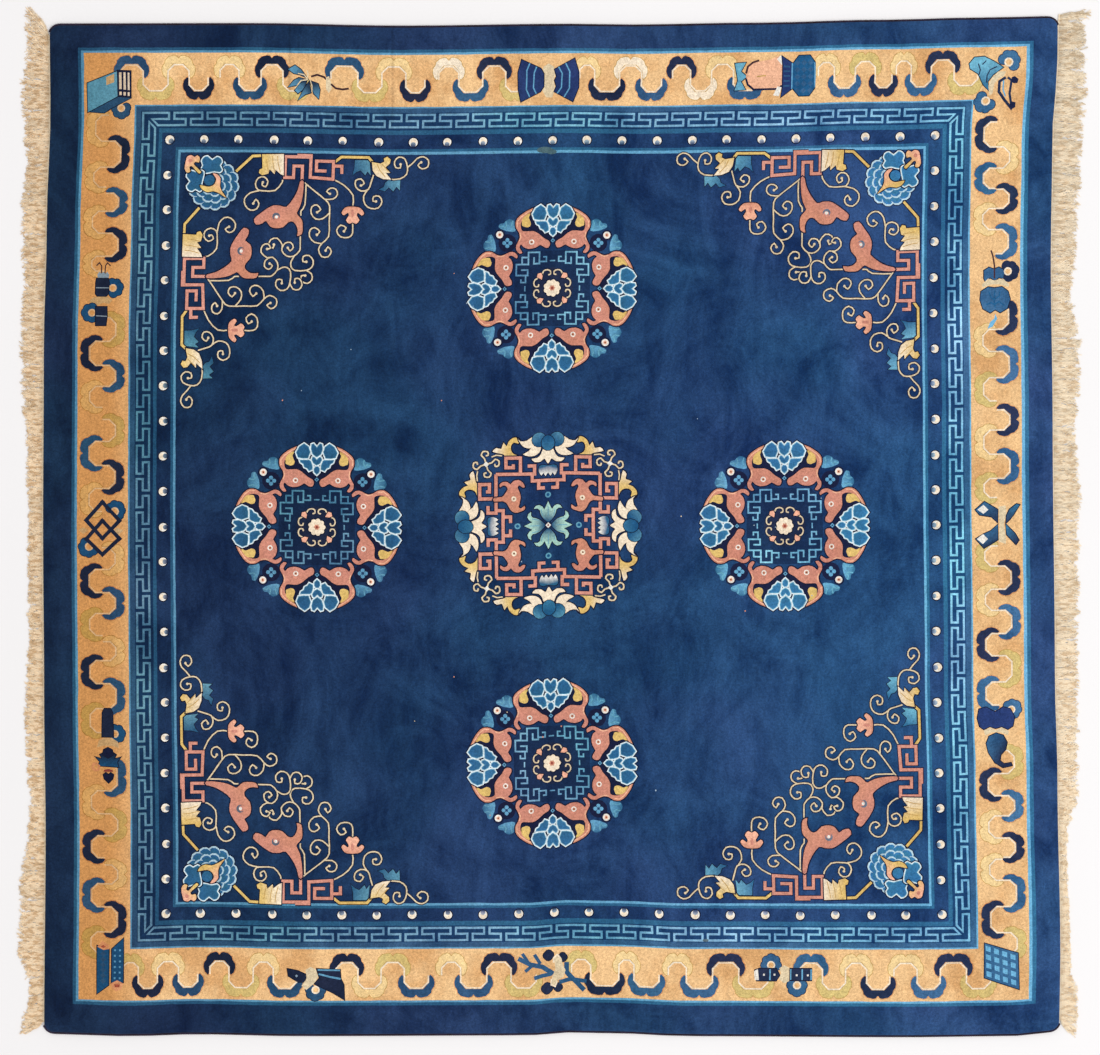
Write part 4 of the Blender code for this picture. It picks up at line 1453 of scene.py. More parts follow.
def drawn():
    """The whole drawing."""
    cartoon = Cartoon()
    draw_grounds(cartoon)
    for side in SIDES:
        draw_fret(cartoon, side)
        draw_clouds(cartoon, side)
    draw_pearls(cartoon)
    for side_x in (-1, 1):
        for side_y in (1, -1):
            draw_spray(cartoon, side_x, side_y)
    for origin in MEDALLIONS:
        draw_medallion(cartoon, origin)
    draw_middle_medallion(cartoon, MIDDLE_MEDALLION)
    for place, parts in EMBLEMS:
        draw_emblem(cartoon, place, parts)
    draw_wear(cartoon)
    return cartoon


# --- weaving the drawing into the pile ---

PILE_HEIGHT = 0.013
RIM_HEIGHTS = (0.0094, 0.0119)
GROOVE_DEPTH = 0.0022
SAG = 0.0007
# In knots: the grid that lets the plain grounds undulate, and how far the weave wavers.
GRID_STEP = 24.0
GRID_START = 10.0
WAVER = 0.18
STEADY_EDGE = 8.0


def linear(value):
    """A dye's red, green or blue out of 255 as linear light."""
    value /= 255
    return value / 12.92 if value <= 0.04045 else ((value + 0.055) / 1.055) ** 2.4


def design_origin():
    """The shift from the woven design to the row frame, from the carpet's solid."""
    outline = [as_woven(p.x, p.y) for line in design_edges().values() for p in line]
    low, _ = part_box("pile_carpet")
    return Vector((low.x - min(p.x for p in outline), low.y - min(p.y for p in outline), 0.0))


def dye_at(dye, x, y, tones):
    """The dye at a place, where it may shade from one tone to another between two places."""
    if isinstance(dye, str):
        return tones[dye]
    near, far, start, end = dye
    run = (end[0] - start[0], end[1] - start[1])
    share = ((x - start[0]) * run[0] + (y - start[1]) * run[1]) / max(run[0] ** 2 + run[1] ** 2, 1e-9)
    share = min(max(share, 0.0), 1.0)
    return tuple(a + (b - a) * share for a, b in zip(tones[near], tones[far]))


def cut(cartoon):
    """The drawing cut into triangles: its points, the triangles and the outlines round each."""
    faces, at = [], 0
    for outline in cartoon.outlines:
        faces.append(list(range(at, at + len(outline))))
        at += len(outline)
    points = [point for outline in cartoon.outlines for point in outline]
    for i in range(int(2 * HALF_X / GRID_STEP)):
        for j in range(int(2 * HALF_Y / GRID_STEP)):
            points.append((-HALF_X + GRID_START + i * GRID_STEP, -HALF_Y + GRID_START + j * GRID_STEP))
    vertices, _, triangles, _, _, around = delaunay_2d_cdt(
        [Vector(point) for point in points], [], faces, 1, 1e-3, True)
    return vertices, triangles, around


def triangles_beside(triangles):
    """For each edge, as its two points, the triangles beside it."""
    beside = {}
    for number, corners in enumerate(triangles):
        for a, b in zip(corners, corners[1:] + corners[:1]):
            beside.setdefault((min(a, b), max(a, b)), []).append(number)
    return beside


def edge_loop(triangles, beside):
    """The points round the carpet's edge, in order."""
    following = {}
    for (a, b), near in beside.items():
        if len(near) == 1:
            corners = triangles[near[0]]
            if (corners.index(b) - corners.index(a)) % 3 != 1:
                a, b = b, a
            following[a] = b
    loop = [next(iter(following))]
    while following[loop[-1]] != loop[0]:
        loop.append(following[loop[-1]])
    return loop


def heights_of(vertices, triangles, around, grooves, loop):
    """How high the pile stands at each point: uneven, carved, and rounded over at the edge."""
    heights = []
    for p in vertices:
        swell = noise.noise(Vector((p.x / 90, p.y / 90, 3.0)))
        heights.append(PILE_HEIGHT - SAG * (0.5 + 0.5 * swell))
    for v in grooves:
        heights[v] = min(heights[v], PILE_HEIGHT - GROOVE_DEPTH)
    # The first outlines laid are the carpet's own and the lines just inside it.
    rings = [set() for _ in RIM_INSETS]
    for corners, ids in zip(triangles, around):
        level = max((i for i in ids if i <= len(RIM_INSETS)), default=0)
        if level < len(rings):
            rings[level] |= set(corners)
    for v in rings[0] & rings[1]:
        heights[v] = min(heights[v], RIM_HEIGHTS[1])
    for v in loop:
        heights[v] = RIM_HEIGHTS[0]
    return heights


def laid_out(vertices, heights):
    """The points on the carpet with its wandering edges, each a little off its true place."""
    shift = design_origin()
    spots = []
    for p, z in zip(vertices, heights):
        shake = noise.noise_vector(Vector((p.x / 5, p.y / 5, 1.0))) * WAVER
        if abs(p.x) > HALF_X - STEADY_EDGE or abs(p.y) > HALF_Y - STEADY_EDGE:
            shake = Vector((0, 0, 0))
        place = as_woven((p.x + shake.x) * KNOT, (p.y + shake.y) * KNOT)
        spots.append((place.x + shift.x, place.y + shift.y, z))
    return spots


def weave(name, cartoon):
    """One closed mesh of the carpet: figured top, rounded pile edge, sides and woven back."""
    vertices, triangles, around = cut(cartoon)
    top = [max(ids) if ids else 0 for ids in around]
    beside = triangles_beside(triangles)
    loop = edge_loop(triangles, beside)
    grooves = set()
    for edge, near in beside.items():
        outlines = {top[number] for number in near}
        if len(outlines) == 2 and cartoon.carved[max(outlines)]:
            grooves |= set(edge)
    spots = laid_out(vertices, heights_of(vertices, triangles, around, grooves, loop))
    feet = {v: len(vertices) + i for i, v in enumerate(loop)}
    spots += [(spots[v][0], spots[v][1], 0.0) for v in loop]
    polygons = [tuple(corners) for corners in triangles]
    polygons += [(a, feet[a], feet[b], b) for a, b in zip(loop, loop[1:] + loop[:1])]
    polygons.append(tuple(feet[v] for v in reversed(loop)))

    mesh = bpy.data.meshes.new(name)
    mesh.from_pydata(spots, [], polygons)
    tones = {dye: (linear(r), linear(g), linear(b), mottle) for dye, (r, g, b, mottle) in DYES.items()}
    values = []
    for corners, number in zip(triangles, top):
        for v in corners:
            values.extend(dye_at(cartoon.dyes[number], *vertices[v], tones))
    for polygon in polygons[len(triangles):]:
        values.extend(tones["outer"] * len(polygon))
    layer = mesh.color_attributes.new(name="dye", type="FLOAT_COLOR", domain="CORNER")
    layer.data.foreach_set("color", values)
    mesh.update()
    piece = bpy.data.objects.new(name, mesh)
    bpy.context.collection.objects.link(piece)
    return piece


# --- materials ---


class Nodes:
    """Adds shader nodes to a material and joins them."""

    def __init__(self, name):
        self.material = bpy.data.materials.new(name)
        self.material.use_nodes = True
        self.tree = self.material.node_tree
        self.shader = self.tree.nodes["Principled BSDF"]

    def add(self, kind, **settings):
        node = self.tree.nodes.new(kind)
        for key, value in settings.items():
            setattr(node, key, value)
        return node

    def join(self, start, end):
        self.tree.links.new(start, end)

    def place(self, scale=(1.0, 1.0, 1.0), turn=0.0):
        """Object coordinates, scaled and turned about Z."""
        source = self.add("ShaderNodeTexCoord").outputs["Object"]
        mapping = self.add("ShaderNodeMapping")
        mapping.inputs["Scale"].default_value = scale
        mapping.inputs["Rotation"].default_value[2] = turn
        self.join(source, mapping.inputs["Vector"])
        return mapping.outputs["Vector"]

    def cloud(self, scale, detail=2.0, roughness=0.5, stretch=(1.0, 1.0, 1.0), turn=0.0, warp=0.0):
        """Soft noise about 0.5."""
        node = self.add("ShaderNodeTexNoise")
        node.inputs["Distortion"].default_value = warp
        node.inputs["Scale"].default_value = scale
        node.inputs["Detail"].default_value = detail
        node.inputs["Roughness"].default_value = roughness
        self.join(self.place(stretch, turn), node.inputs["Vector"])
        return node.outputs["Fac"]

    def ranged(self, value, low, high, to_low, to_high):
        """The value's range from low to high drawn out to another range, and held at its ends."""
        node = self.add("ShaderNodeMapRange")
        for socket, amount in zip(("From Min", "From Max", "To Min", "To Max"), (low, high, to_low, to_high)):
            node.inputs[socket].default_value = amount
        self.join(value, node.inputs["Value"])
        return node.outputs["Result"]

    def maths(self, operation, first, second):
        node = self.add("ShaderNodeMath", operation=operation)
        for socket, value in zip(node.inputs, (first, second)):
            if isinstance(value, (int, float)):
                socket.default_value = value
            else:
                self.join(value, socket)
        return node.outputs["Value"]

    def grey(self, value):
        """The value as red, green and blue at once."""
        node = self.add("ShaderNodeCombineColor")
        for socket in node.inputs[:3]:
            self.join(value, socket)
        return node.outputs["Color"]

    def blend(self, kind, share, first, second):
        node = self.add("ShaderNodeMix", data_type="RGBA", blend_type=kind)
        sockets = (node.inputs["Factor"], node.inputs[6], node.inputs[7])
        for socket, value in zip(sockets, (share, first, second)):
            if isinstance(value, (int, float)):
                socket.default_value = value
            elif isinstance(value, tuple):
                socket.default_value = (*value, 1.0)
            else:
                self.join(value, socket)
        return node.outputs[2]

    def bump(self, height, strength, distance):
        node = self.add("ShaderNodeBump")
        node.inputs["Strength"].default_value = strength
        node.inputs["Distance"].default_value = distance
        self.join(height, node.inputs["Height"])
        self.join(node.outputs["Normal"], self.shader.inputs["Normal"])

    def finish(self, roughness, sheen=0.0, sheen_roughness=0.5, specular=0.3):
        self.shader.inputs["Roughness"].default_value = roughness
        self.shader.inputs["Sheen Weight"].default_value = sheen
        self.shader.inputs["Sheen Roughness"].default_value = sheen_roughness
        self.shader.inputs["Specular IOR Level"].default_value = specular
        return self.material


WHITE = (1.0, 1.0, 1.0)


def nap_sheen_and_light(nodes, along, strength, sheen_share):
    """Painted sheen of the nap brushed this way and that, in patches with strokes in them, and painted light
    dimming towards the left, where it is darkest.
    """
    patches = nodes.ranged(nodes.cloud(3.0, 6.0, 0.7, turn=0.3, warp=1.1), 0.41, 0.60, 0.0, 1.0)
    strokes = nodes.ranged(nodes.cloud(5.0, 6.0, 0.7, (1.9, 0.8, 1.0), -0.25, 0.9), 0.41, 0.60, 0.0, 1.0)
    nap = nodes.maths("ADD", nodes.maths("MULTIPLY", patches, 0.58), nodes.maths("MULTIPLY", strokes, 0.42))
    # Painted sheen: the brushed patches and strokes lighten or darken the wool as light glancing off the nap
    # would.
    lit = nodes.blend("MIX", nap, (0.38, 0.52, 0.64), (2.25, 1.78, 1.52))
    tint = nodes.ranged(nodes.cloud(1.6, 2.0), 0.4, 0.6, 0.0, 1.0)
    tinted = nodes.blend("MIX", tint, (1.12, 0.95, 1.0), (0.84, 1.04, 0.98))
    lit = nodes.blend("MULTIPLY", 1.0, lit, tinted)
    cool_painted_light = nodes.blend("MIX", nodes.maths("MULTIPLY", strength, sheen_share), WHITE, lit)
    # Painted light: darker to the left, lighter to the right.
    lean = nodes.grey(nodes.ranged(along, -1.4, 1.4, 0.40, 1.45))
    share = nodes.maths("ADD", nodes.maths("MULTIPLY", strength, 0.5), 0.5)
    return nodes.blend("MULTIPLY", share, cool_painted_light, lean)


def uneven_gold_shaded_left(nodes, along, strength):
    """The gold took its dye unevenly, in blotches, and is deepest at the left with painted shade, as the
    light dims that way.
    """
    blotch = nodes.ranged(nodes.cloud(5.5, 5.0, 0.66), 0.44, 0.62, 0.0, 0.7)
    # Painted shade: darker towards the left edge.
    left = nodes.ranged(along, -1.2, -1.05, 1.0, 0.0)
    blotch = nodes.maths("MAXIMUM", nodes.maths("MULTIPLY", blotch, strength), left)
    return nodes.blend("MIX", blotch, WHITE, (0.68, 0.50, 0.33))


def painted_fold_shade(nodes, colour, along, up):
    """The colour darkened with painted shade along two old folds across the back border."""
    for fold in (-0.713, -0.433):
        away = nodes.maths("ABSOLUTE", nodes.maths("SUBTRACT", along, fold), 0.0)
        across = nodes.ranged(away, 0.0, 0.006, 0.45, 0.0)
        line = nodes.maths("MULTIPLY", across, nodes.ranged(up, 1.05, 1.15, 0.0, 1.0))
        colour = nodes.blend("MULTIPLY", line, colour, (0.45, 0.42, 0.42))
    return colour


def knot_gain(nodes):
    """Each knot is a little lighter or darker than the next."""
    knots = nodes.ranged(nodes.cloud(330.0, 1.0), 0.25, 0.75, 0.80, 1.20)
    rows = nodes.ranged(nodes.cloud(60.0, 2.0, 0.6, (1.0, 0.35, 1.0)), 0.3, 0.7, 0.92, 1.08)
    tufts = nodes.ranged(nodes.cloud(150.0, 1.0), 0.25, 0.75, 0.82, 1.18)
    return nodes.grey(nodes.maths("MULTIPLY", nodes.maths("MULTIPLY", knots, rows), tufts))


def pile_material(sheen_share):
    """Wool in the drawing's dyes, mottled by each dye's own strength, with painted sheen on the nap, painted
    light dimming towards the left and painted shade along two folds.
    """
    nodes = Nodes("dyed wool pile")
    dye = nodes.add("ShaderNodeAttribute", attribute_name="dye")
    colour, strength = dye.outputs["Color"], dye.outputs["Alpha"]
    parts = nodes.add("ShaderNodeSeparateColor")
    nodes.join(colour, parts.inputs["Color"])
    warm = nodes.ranged(parts.outputs["Red"], 0.25, 0.55, 0.0, 1.0)
    place = nodes.add("ShaderNodeSeparateXYZ")
    nodes.join(nodes.place(), place.inputs["Vector"])
    along, up = place.outputs["X"], place.outputs["Y"]

    # Dyes with little red take the painted sheen and painted light; dyes with much red, the gold among them,
    # take the uneven dye and painted shade at the left.
    cool_painted_light = nap_sheen_and_light(nodes, along, strength, sheen_share)
    gold = uneven_gold_shaded_left(nodes, along, strength)
    colour = nodes.blend("MULTIPLY", 1.0, colour, nodes.blend("MIX", warm, cool_painted_light, gold))
    colour = painted_fold_shade(nodes, colour, along, up)
    colour = nodes.blend("MULTIPLY", 1.0, colour, knot_gain(nodes))
    nodes.join(colour, nodes.shader.inputs["Base Color"])
    coarse = nodes.maths("MULTIPLY", nodes.cloud(90.0, 2.0), 1.5)
    nodes.bump(nodes.maths("ADD", nodes.cloud(420.0, 2.0), coarse), 0.7, 0.0012)
    return nodes.finish(0.95, 0.05, 0.6, 0.05)


def yarn_material(name, colour, spread):
    """Undyed cotton or wool: fibres lighter and darker, with brown painted shade in the crevices where yarns
    cross.
    """
    nodes = Nodes(name)
    tone = nodes.add("ShaderNodeAttribute", attribute_name="tone")
    fibre = nodes.ranged(nodes.cloud(700.0, 2.0), 0.3, 0.7, 1 - spread, 1 + spread)
    gain = nodes.grey(nodes.maths("MULTIPLY", fibre, tone.outputs["Fac"]))
    crevice_noise = nodes.cloud(95.0, 3.0, 0.62, (0.5, 1.3, 1.0), 0.5)
    # Painted shade: brown in the crevices between the yarns.
    crevice_shade = nodes.ranged(crevice_noise, 0.53, 0.40, 0.0, 7.0 * spread)
    crevice_shaded = nodes.blend("MIX", crevice_shade, WHITE, (0.70, 0.57, 0.42))
    dyed = nodes.blend("MULTIPLY", 1.0, tuple(linear(v) for v in colour), crevice_shaded)
    nodes.join(nodes.blend("MULTIPLY", 1.0, dyed, gain), nodes.shader.inputs["Base Color"])
    nodes.bump(nodes.cloud(1500.0, 2.0), 0.4, 0.0004)
    return nodes.finish(0.9, 0.1, 0.6, 0.15)


def floor_material():
    """Pale and matt, with painted shade making it a little darker to the left."""
    nodes = Nodes("pale floor")
    place = nodes.add("ShaderNodeSeparateXYZ")
    nodes.join(nodes.place(), place.inputs["Vector"])
    # Painted shade: the floor darkens towards the left.
    painted_floor_shade = nodes.ranged(place.outputs["X"], -1.5, 1.2, 0.93, 1.0)
    drift = nodes.ranged(nodes.cloud(0.4, 1.0), 0.3, 0.7, 0.98, 1.0)
    shade = nodes.grey(nodes.maths("MULTIPLY", painted_floor_shade, drift))
    colour = nodes.blend("MULTIPLY", 1.0, (0.94, 0.915, 0.905), shade)
    nodes.join(colour, nodes.shader.inputs["Base Color"])
    return nodes.finish(0.9, 0.0, 0.5, 0.1)


# --- cords, webs and fringes ---


def woven_lines():
    """The carpet's four sides and corners in the row frame."""
    shift = design_origin()
    return {
        name: [as_woven(p.x, p.y) + shift for p in line] for name, line in design_edges().items()
    }


def stretched(line, more):
    """The right-hand line carried on to the rear past its end."""
    return line + [line[-1] + Vector((0.1 * more, more, 0.0))]


def evenly(line, step):
    """Points every step along a line, each with the direction that faces out of the carpet."""
    lengths = [(b - a).length for a, b in zip(line, line[1:])]
    total = sum(lengths)
    count = max(2, round(total / step))
    places = []
    segment, passed = 0, 0.0
    for i in range(count + 1):
        distance = total * i / count
        while segment < len(lengths) - 1 and passed + lengths[segment] < distance:
            passed += lengths[segment]
            segment += 1
        a, b = line[segment], line[segment + 1]
        run = (b - a).normalized()
        places.append((a + run * (distance - passed), Vector((run.y, -run.x, 0.0)), run))
    return places, total


def tube(path, radius, sides, spots, polygons):
    """Adds a closed tube round a path; its radius may be a rule of the step and the angle."""
    at = len(spots)
    count = len(path)
    for i, here in enumerate(path):
        run = (path[min(i + 1, count - 1)] - path[max(i - 1, 0)]).normalized()
        side = run.cross(Vector((0, 0, 1))).normalized()
        rise = side.cross(run)
        for k in range(sides):
            angle = 2 * math.pi * k / sides
            reach = radius(i, angle) if callable(radius) else radius
            spots.append(here + (side * math.cos(angle) + rise * math.sin(angle)) * reach)
    for i in range(count - 1):
        for k in range(sides):
            a, b = at + i * sides + k, at + i * sides + (k + 1) % sides
            polygons.append((a, b, b + sides, a + sides))
    polygons.append(tuple(at + k for k in reversed(range(sides))))
    polygons.append(tuple(at + (count - 1) * sides + k for k in range(sides)))


def mesh_piece(name, spots, polygons, tones, material):
    """A piece of one material, with how light each of its points is."""
    mesh = bpy.data.meshes.new(name)
    mesh.from_pydata([tuple(p) for p in spots], [], polygons)
    layer = mesh.attributes.new(name="tone", type="FLOAT", domain="POINT")
    layer.data.foreach_set("value", tones)
    mesh.update()
    mesh.materials.append(material)
    piece = bpy.data.objects.new(name, mesh)
    bpy.context.collection.objects.link(piece)
    bpy.ops.object.select_all(action="DESELECT")
    piece.select_set(True)
    bpy.context.view_layer.objects.active = piece
    bpy.ops.object.mode_set(mode="EDIT")
    bpy.ops.mesh.select_all(action="SELECT")
    bpy.ops.mesh.normals_make_consistent(inside=False)
    bpy.ops.object.mode_set(mode="OBJECT")
    bpy.ops.object.shade_smooth_by_angle(angle=math.radians(50))
    return piece


def ready(piece, slot, *nodes):
    """Seats a piece in the frame: its body and the solids it stands for; the slot is not used."""
    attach(piece, "root")
    if nodes:
        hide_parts(*nodes)
    return piece


def make_overcast_cord(name, line, diameter, wrap, material):
    """A cord wound round with yarn along one side of the carpet and its two corners."""
    places, _ = evenly(line, wrap / 4)
    radius = diameter / 2
    path = [p + out * (radius + 2 * PIECE_GAP) + Vector((0, 0, radius)) for p, out, _ in places]
    smoothed = [
        (path[max(i - 3, 0)] + path[i] * 2 + path[min(i + 3, len(path) - 1)]) / 4
        for i in range(len(path))
    ]

    def reach(i, angle):
        return radius * (0.93 + 0.07 * math.cos(angle + i * math.pi / 2))

    spots, polygons = [], []
    tube(smoothed, reach, 8, spots, polygons)
    # Painted shade: each turn of the wrap lighter on its swell and darker in the groove between turns, in
    # step with the radius.
    tones = [0.85 + 0.3 * (0.5 + 0.5 * math.cos(k * math.pi / 4 + i * math.pi / 2))
             for i in range(len(smoothed)) for k in range(8)]
    return mesh_piece(name, spots, polygons, tones, material)


def make_web(name, line, width, thickness, material):
    """The narrow plain weave between the pile and the loose warp ends."""
    places, _ = evenly(line, 0.006)
    spots, polygons, tones = [], [], []
    profile = ((0.0003, 0.0006), (0.0003, thickness), (width * 0.6, thickness * 0.8),
               (width, thickness * 0.4), (width, 0.0002))
    draw = random.Random(3)
    for place, out, _ in places:
        for reach, height in profile:
            wave = draw.uniform(-0.0006, 0.0006) if reach > width * 0.9 else 0.0
            spots.append(place + out * (reach + wave) + Vector((0, 0, height)))
            tones.append(draw.uniform(0.9, 1.06))
    sides = len(profile)
    for i in range(len(places) - 1):
        for k in range(sides):
            a, b = i * sides + k, i * sides + (k + 1) % sides
            polygons.append((a, b, b + sides, a + sides))
    polygons.append(tuple(range(sides)))
    last = (len(places) - 1) * sides
    polygons.append(tuple(last + k for k in reversed(range(sides))))
    return mesh_piece(name, spots, polygons, tones, material)


LOCK_PITCH = 0.016
YARN_STEPS = 8
STRAY_SHARE = 0.2
SPLAY_REACH = 0.05
YARN_START = 0.005


def make_yarns(name, line, lengths, count, diameter, waviness, material, seed, gain, painted_dimming, corner_splay):
    """Loose warp ends: thin wavy yarns that cling in small locks and splay past the corners."""
    draw = random.Random(seed)
    places, total = evenly(line, 0.002)
    spots, polygons, tones = [], [], []
    # Each lock's shift, lean, share of the full length, phase of its waves, and shade.
    locks = [(draw.uniform(-0.5, 0.5), draw.uniform(-0.11, 0.11), draw.uniform(0.86, 1.04),
              draw.uniform(0, 6.28), draw.uniform(0.9, 1.06)) for _ in range(int(total / LOCK_PITCH) + 2)]
    for number in range(count):
        distance = total * (number + draw.uniform(0.1, 0.9)) / count
        place, out, run = places[min(int(distance / total * (len(places) - 1)), len(places) - 1)]
        lock = int(distance / LOCK_PITCH)
        off, lean, share, phase, shade = locks[lock]
        middle = min((lock + 0.5 + off * 0.5) * LOCK_PITCH, total - 0.005) - distance
        splay = math.exp(-(total - distance) / SPLAY_REACH) - math.exp(-distance / SPLAY_REACH)
        splay *= corner_splay if place.y > 0 else 1.0
        length = eased(lengths, place.y / HALF_DEPTH) * share * draw.uniform(0.78, 1.07)
        stray = draw.random() < STRAY_SHARE
        lean = (draw.uniform(-0.5, 0.5) if stray else lean + draw.uniform(-0.09, 0.09)) * length
        layer = draw.random()
        wave = waviness * draw.uniform(0.4, 1.3)
        beat = draw.uniform(7.0, 15.0)
        own = phase + draw.uniform(-0.9, 0.9)
        # The yarns lowest in the heap are thicker, and close the gaps between the ones above.
        radius = diameter * (0.75 if layer < 0.45 else 0.45)
        path = []
        for i in range(YARN_STEPS + 1):
            t = i / YARN_STEPS
            cling = 0.2 * t if stray else (3 * t * t - 2 * t * t * t)
            side = lean * t ** 1.3 + middle * 0.42 * cling + wave * t * math.sin(beat * t + own)
            side += splay * (0.02 if stray else 0.042) * t ** 0.6
            reach = YARN_START + (length - YARN_START) * t
            swell = math.sin(math.pi * min(t * 1.2, 1.0)) ** 2
            lift = radius + 0.0001 + (0.0002 + 0.0022 * layer) * (0.3 + 0.7 * swell)
            path.append(place + out * reach + run * side + Vector((0, 0, lift)))
        tube(path, radius, 3, spots, polygons)
        # Yarns low in the heap are painted darker: painted shade under the yarns above.
        tone = gain * shade * (0.70 + 0.40 * layer) * draw.uniform(0.92, 1.08)
        # Painted light: each yarn darker the further towards the back it lies.
        tone = min(tone * (1.0 - painted_dimming * place.y / HALF_DEPTH), 1.04)
        tones += [tone * (0.96 + 0.04 * i / YARN_STEPS) for i in range(YARN_STEPS + 1) for _ in range(3)]
    return mesh_piece(name, spots, polygons, tones, material)


# --- the add-on: settings, one operator for each group of pieces, and the panel ---


class FigureSettings(bpy.types.PropertyGroup):
    # How strongly the painted sheen of the brushed nap shows.
    nap: bpy.props.FloatProperty(
        name="Nap", description="How strongly the brushed nap shows", default=1.0, min=0, max=2)


class CordSettings(bpy.types.PropertyGroup):
    diameter: bpy.props.FloatProperty(
        name="Diameter", description="Thickness of the overcast cord", default=0.006,
        unit="LENGTH", subtype="DISTANCE", min=0.002, max=0.01)
    wrap: bpy.props.FloatProperty(
        name="Wrap", description="Length of one turn of the overcasting", default=0.005,
        unit="LENGTH", subtype="DISTANCE", min=0.002, max=0.02)


class FringeSettings(bpy.types.PropertyGroup):
    web_width: bpy.props.FloatProperty(
        name="Web width", description="Plain weave beside the pile", default=0.009,
        unit="LENGTH", subtype="DISTANCE", min=0.002, max=0.03)
    yarns: bpy.props.IntProperty(
        name="Yarns", description="Loose warp ends at each end", default=3700, min=100, max=4000)
    diameter: bpy.props.FloatProperty(
        name="Yarn", description="Thickness of a warp end", default=0.0022,
        unit="LENGTH", subtype="DISTANCE", min=0.0004, max=0.004)
    waviness: bpy.props.FloatProperty(
        name="Waviness", description="How far the ends swing", default=0.0055,
        unit="LENGTH", subtype="DISTANCE", min=0.0, max=0.02)
    colour: bpy.props.FloatVectorProperty(
        name="Cotton", description="Undyed cotton, red, green and blue out of 255",
        default=(246, 224, 192), min=0, max=255)
    # The right end's cotton, painted lighter than the left's as it lies in brighter light.
    right_cotton_lit: bpy.props.FloatVectorProperty(
        name="Brighter cotton", description="Lighter cotton of the right end, out of 255",
        default=(251, 234, 206), min=0, max=255)


class CARPET_OT_pile(bpy.types.Operator):
    """Weave the figured pile"""

    bl_idname = "carpet.pile"
    bl_label = "Figured pile"

    def execute(self, context):
        piece = weave("pile_carpet_face", drawn())
        piece.data.materials.append(pile_material(context.scene.carpet_figure.nap))
        ready(piece, "pile", "pile_carpet")
        return {"FINISHED"}


class CARPET_OT_cords(bpy.types.Operator):
    """Overcast the two unfringed sides"""

    bl_idname = "carpet.cords"
    bl_label = "Overcast cords"

    def execute(self, context):
        settings = context.scene.carpet_cords
        lines = woven_lines()
        wool = yarn_material("dark overcast wool", (52, 40, 62), 0.2)
        front = lines["front_left"] + lines["front"] + lines["front_right"]
        back = lines["back_right"] + lines["back"] + lines["back_left"]
        for side, line in (("front", front), ("back", back)):
            piece = make_overcast_cord(f"overcast_cord_{side}", line, settings.diameter, settings.wrap, wool)
            ready(piece, "binding", f"selvedge_cord_{side}")
        return {"FINISHED"}


class CARPET_OT_fringes(bpy.types.Operator):
    """Lay the webs and the loose warp ends"""

    bl_idname = "carpet.fringes"
    bl_label = "Webs and fringes"

    def execute(self, context):
        settings = context.scene.carpet_fringes
        lines = woven_lines()
        plain = yarn_material("plain cotton weave", (240, 220, 188), 0.05)
        # Each end: its fringe lengths, its cotton, how much its fibres vary and how deep its painted crevice
        # shade is, and its looks.
        for side, lengths, dye, crevice_shade, looks in (
            ("left", LEFT_FRINGE, settings.colour, 0.12, (21, 1.16, 0.05, 2.0)),
            # The right end: painted lighter cotton and stronger painted dimming towards the back.
            ("right", RIGHT_FRINGE, settings.right_cotton_lit, 0.09, (22, 1.18, 0.16, 0.3)),
        ):
            cotton = yarn_material(f"undyed cotton warp {side}", tuple(dye), crevice_shade)
            if side == "right":
                lines[side] = stretched(lines[side], 0.038)
            web = make_web(f"end_web_{side}", lines[side], settings.web_width, 0.0028, plain)
            ready(web, "warp")
            piece = make_yarns(f"fringe_yarns_{side}", lines[side], lengths, settings.yarns,
                               settings.diameter, settings.waviness, cotton, *looks)
            ready(piece, "warp", f"fringe_{side}")
        return {"FINISHED"}


VIEW_WIDTH = 1100 * KNOT
WORLD_COLOUR = (0.97, 0.98, 1.0, 1.0)
WORLD_STRENGTH = 0.68
# Name, the way it shines, strength and the angle it fills.
LIGHTS = (
    ("window", (-0.55, 0.35, -0.75), 1.35, 50), ("fill", (0.45, -0.55, -0.7), 0.35, 70),
)


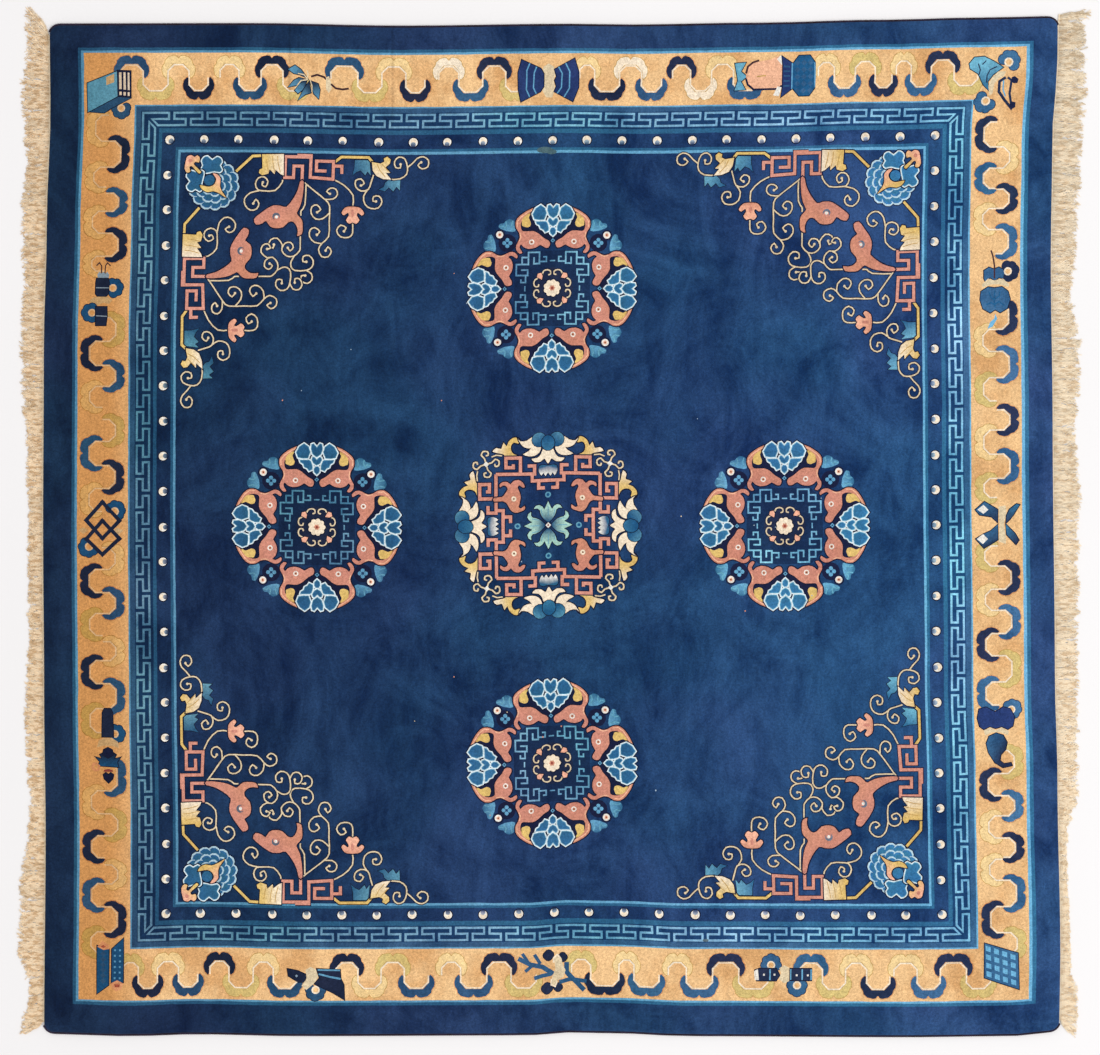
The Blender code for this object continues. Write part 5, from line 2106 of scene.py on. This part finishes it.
class CARPET_OT_stage(bpy.types.Operator):
    """Lay the floor and set the lights and the camera"""

    bl_idname = "carpet.stage"
    bl_label = "Floor, lights and camera"

    def execute(self, context):
        scene = context.scene
        bpy.ops.mesh.primitive_plane_add(size=60, location=(0, 0, -0.0005))
        floor = context.object
        floor.name = "floor"
        floor.data.materials.append(floor_material())
        world = bpy.data.worlds.new("soft studio")
        world.use_nodes = True
        background = world.node_tree.nodes["Background"]
        background.inputs["Color"].default_value = WORLD_COLOUR
        background.inputs["Strength"].default_value = WORLD_STRENGTH
        scene.world = world
        for name, aim, strength, spread in LIGHTS:
            light = bpy.data.lights.new(name, "SUN")
            light.energy = strength
            light.angle = math.radians(spread)
            lamp = bpy.data.objects.new(name, light)
            lamp.rotation_mode = "QUATERNION"
            lamp.rotation_quaternion = Vector(aim).to_track_quat("-Z", "Y")
            lamp.location = (-aim[0] * 5, -aim[1] * 5, 5)
            context.collection.objects.link(lamp)
        shift = design_origin()
        lens = bpy.data.cameras.new("camera")
        lens.lens = 90
        lens.clip_end = 50
        camera = bpy.data.objects.new("camera", lens)
        height = VIEW_WIDTH * lens.lens / lens.sensor_width
        camera.location = (shift.x - KNOT, shift.y + KNOT, height)
        context.collection.objects.link(camera)
        scene.camera = camera
        scene.view_settings.view_transform = "Standard"
        return {"FINISHED"}


class CARPET_PT_panel(bpy.types.Panel):
    bl_label = "Carpet"
    bl_space_type = "VIEW_3D"
    bl_region_type = "UI"
    bl_category = "Carpet"

    def draw(self, context):
        scene = context.scene
        for settings, operator in (
            (scene.carpet_figure, "carpet.pile"), (scene.carpet_cords, "carpet.cords"),
            (scene.carpet_fringes, "carpet.fringes"), (None, "carpet.stage"),
        ):
            box = self.layout.box()
            if settings:
                for key in settings.__annotations__:
                    box.prop(settings, key)
            box.operator(operator)


CLASSES = (
    FigureSettings, CordSettings, FringeSettings, CARPET_OT_pile, CARPET_OT_cords,
    CARPET_OT_fringes, CARPET_OT_stage, CARPET_PT_panel,
)


def register():
    for kind in CLASSES:
        bpy.utils.register_class(kind)
    bpy.types.Scene.carpet_figure = bpy.props.PointerProperty(type=FigureSettings)
    bpy.types.Scene.carpet_cords = bpy.props.PointerProperty(type=CordSettings)
    bpy.types.Scene.carpet_fringes = bpy.props.PointerProperty(type=FringeSettings)


def unregister():
    del bpy.types.Scene.carpet_figure
    del bpy.types.Scene.carpet_cords
    del bpy.types.Scene.carpet_fringes
    for kind in reversed(CLASSES):
        bpy.utils.unregister_class(kind)


def main():
    register()
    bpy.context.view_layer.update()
    bpy.ops.carpet.pile()
    bpy.ops.carpet.cords()
    bpy.ops.carpet.fringes()
    bpy.ops.carpet.stage()


if __name__ == "__main__":
    main()
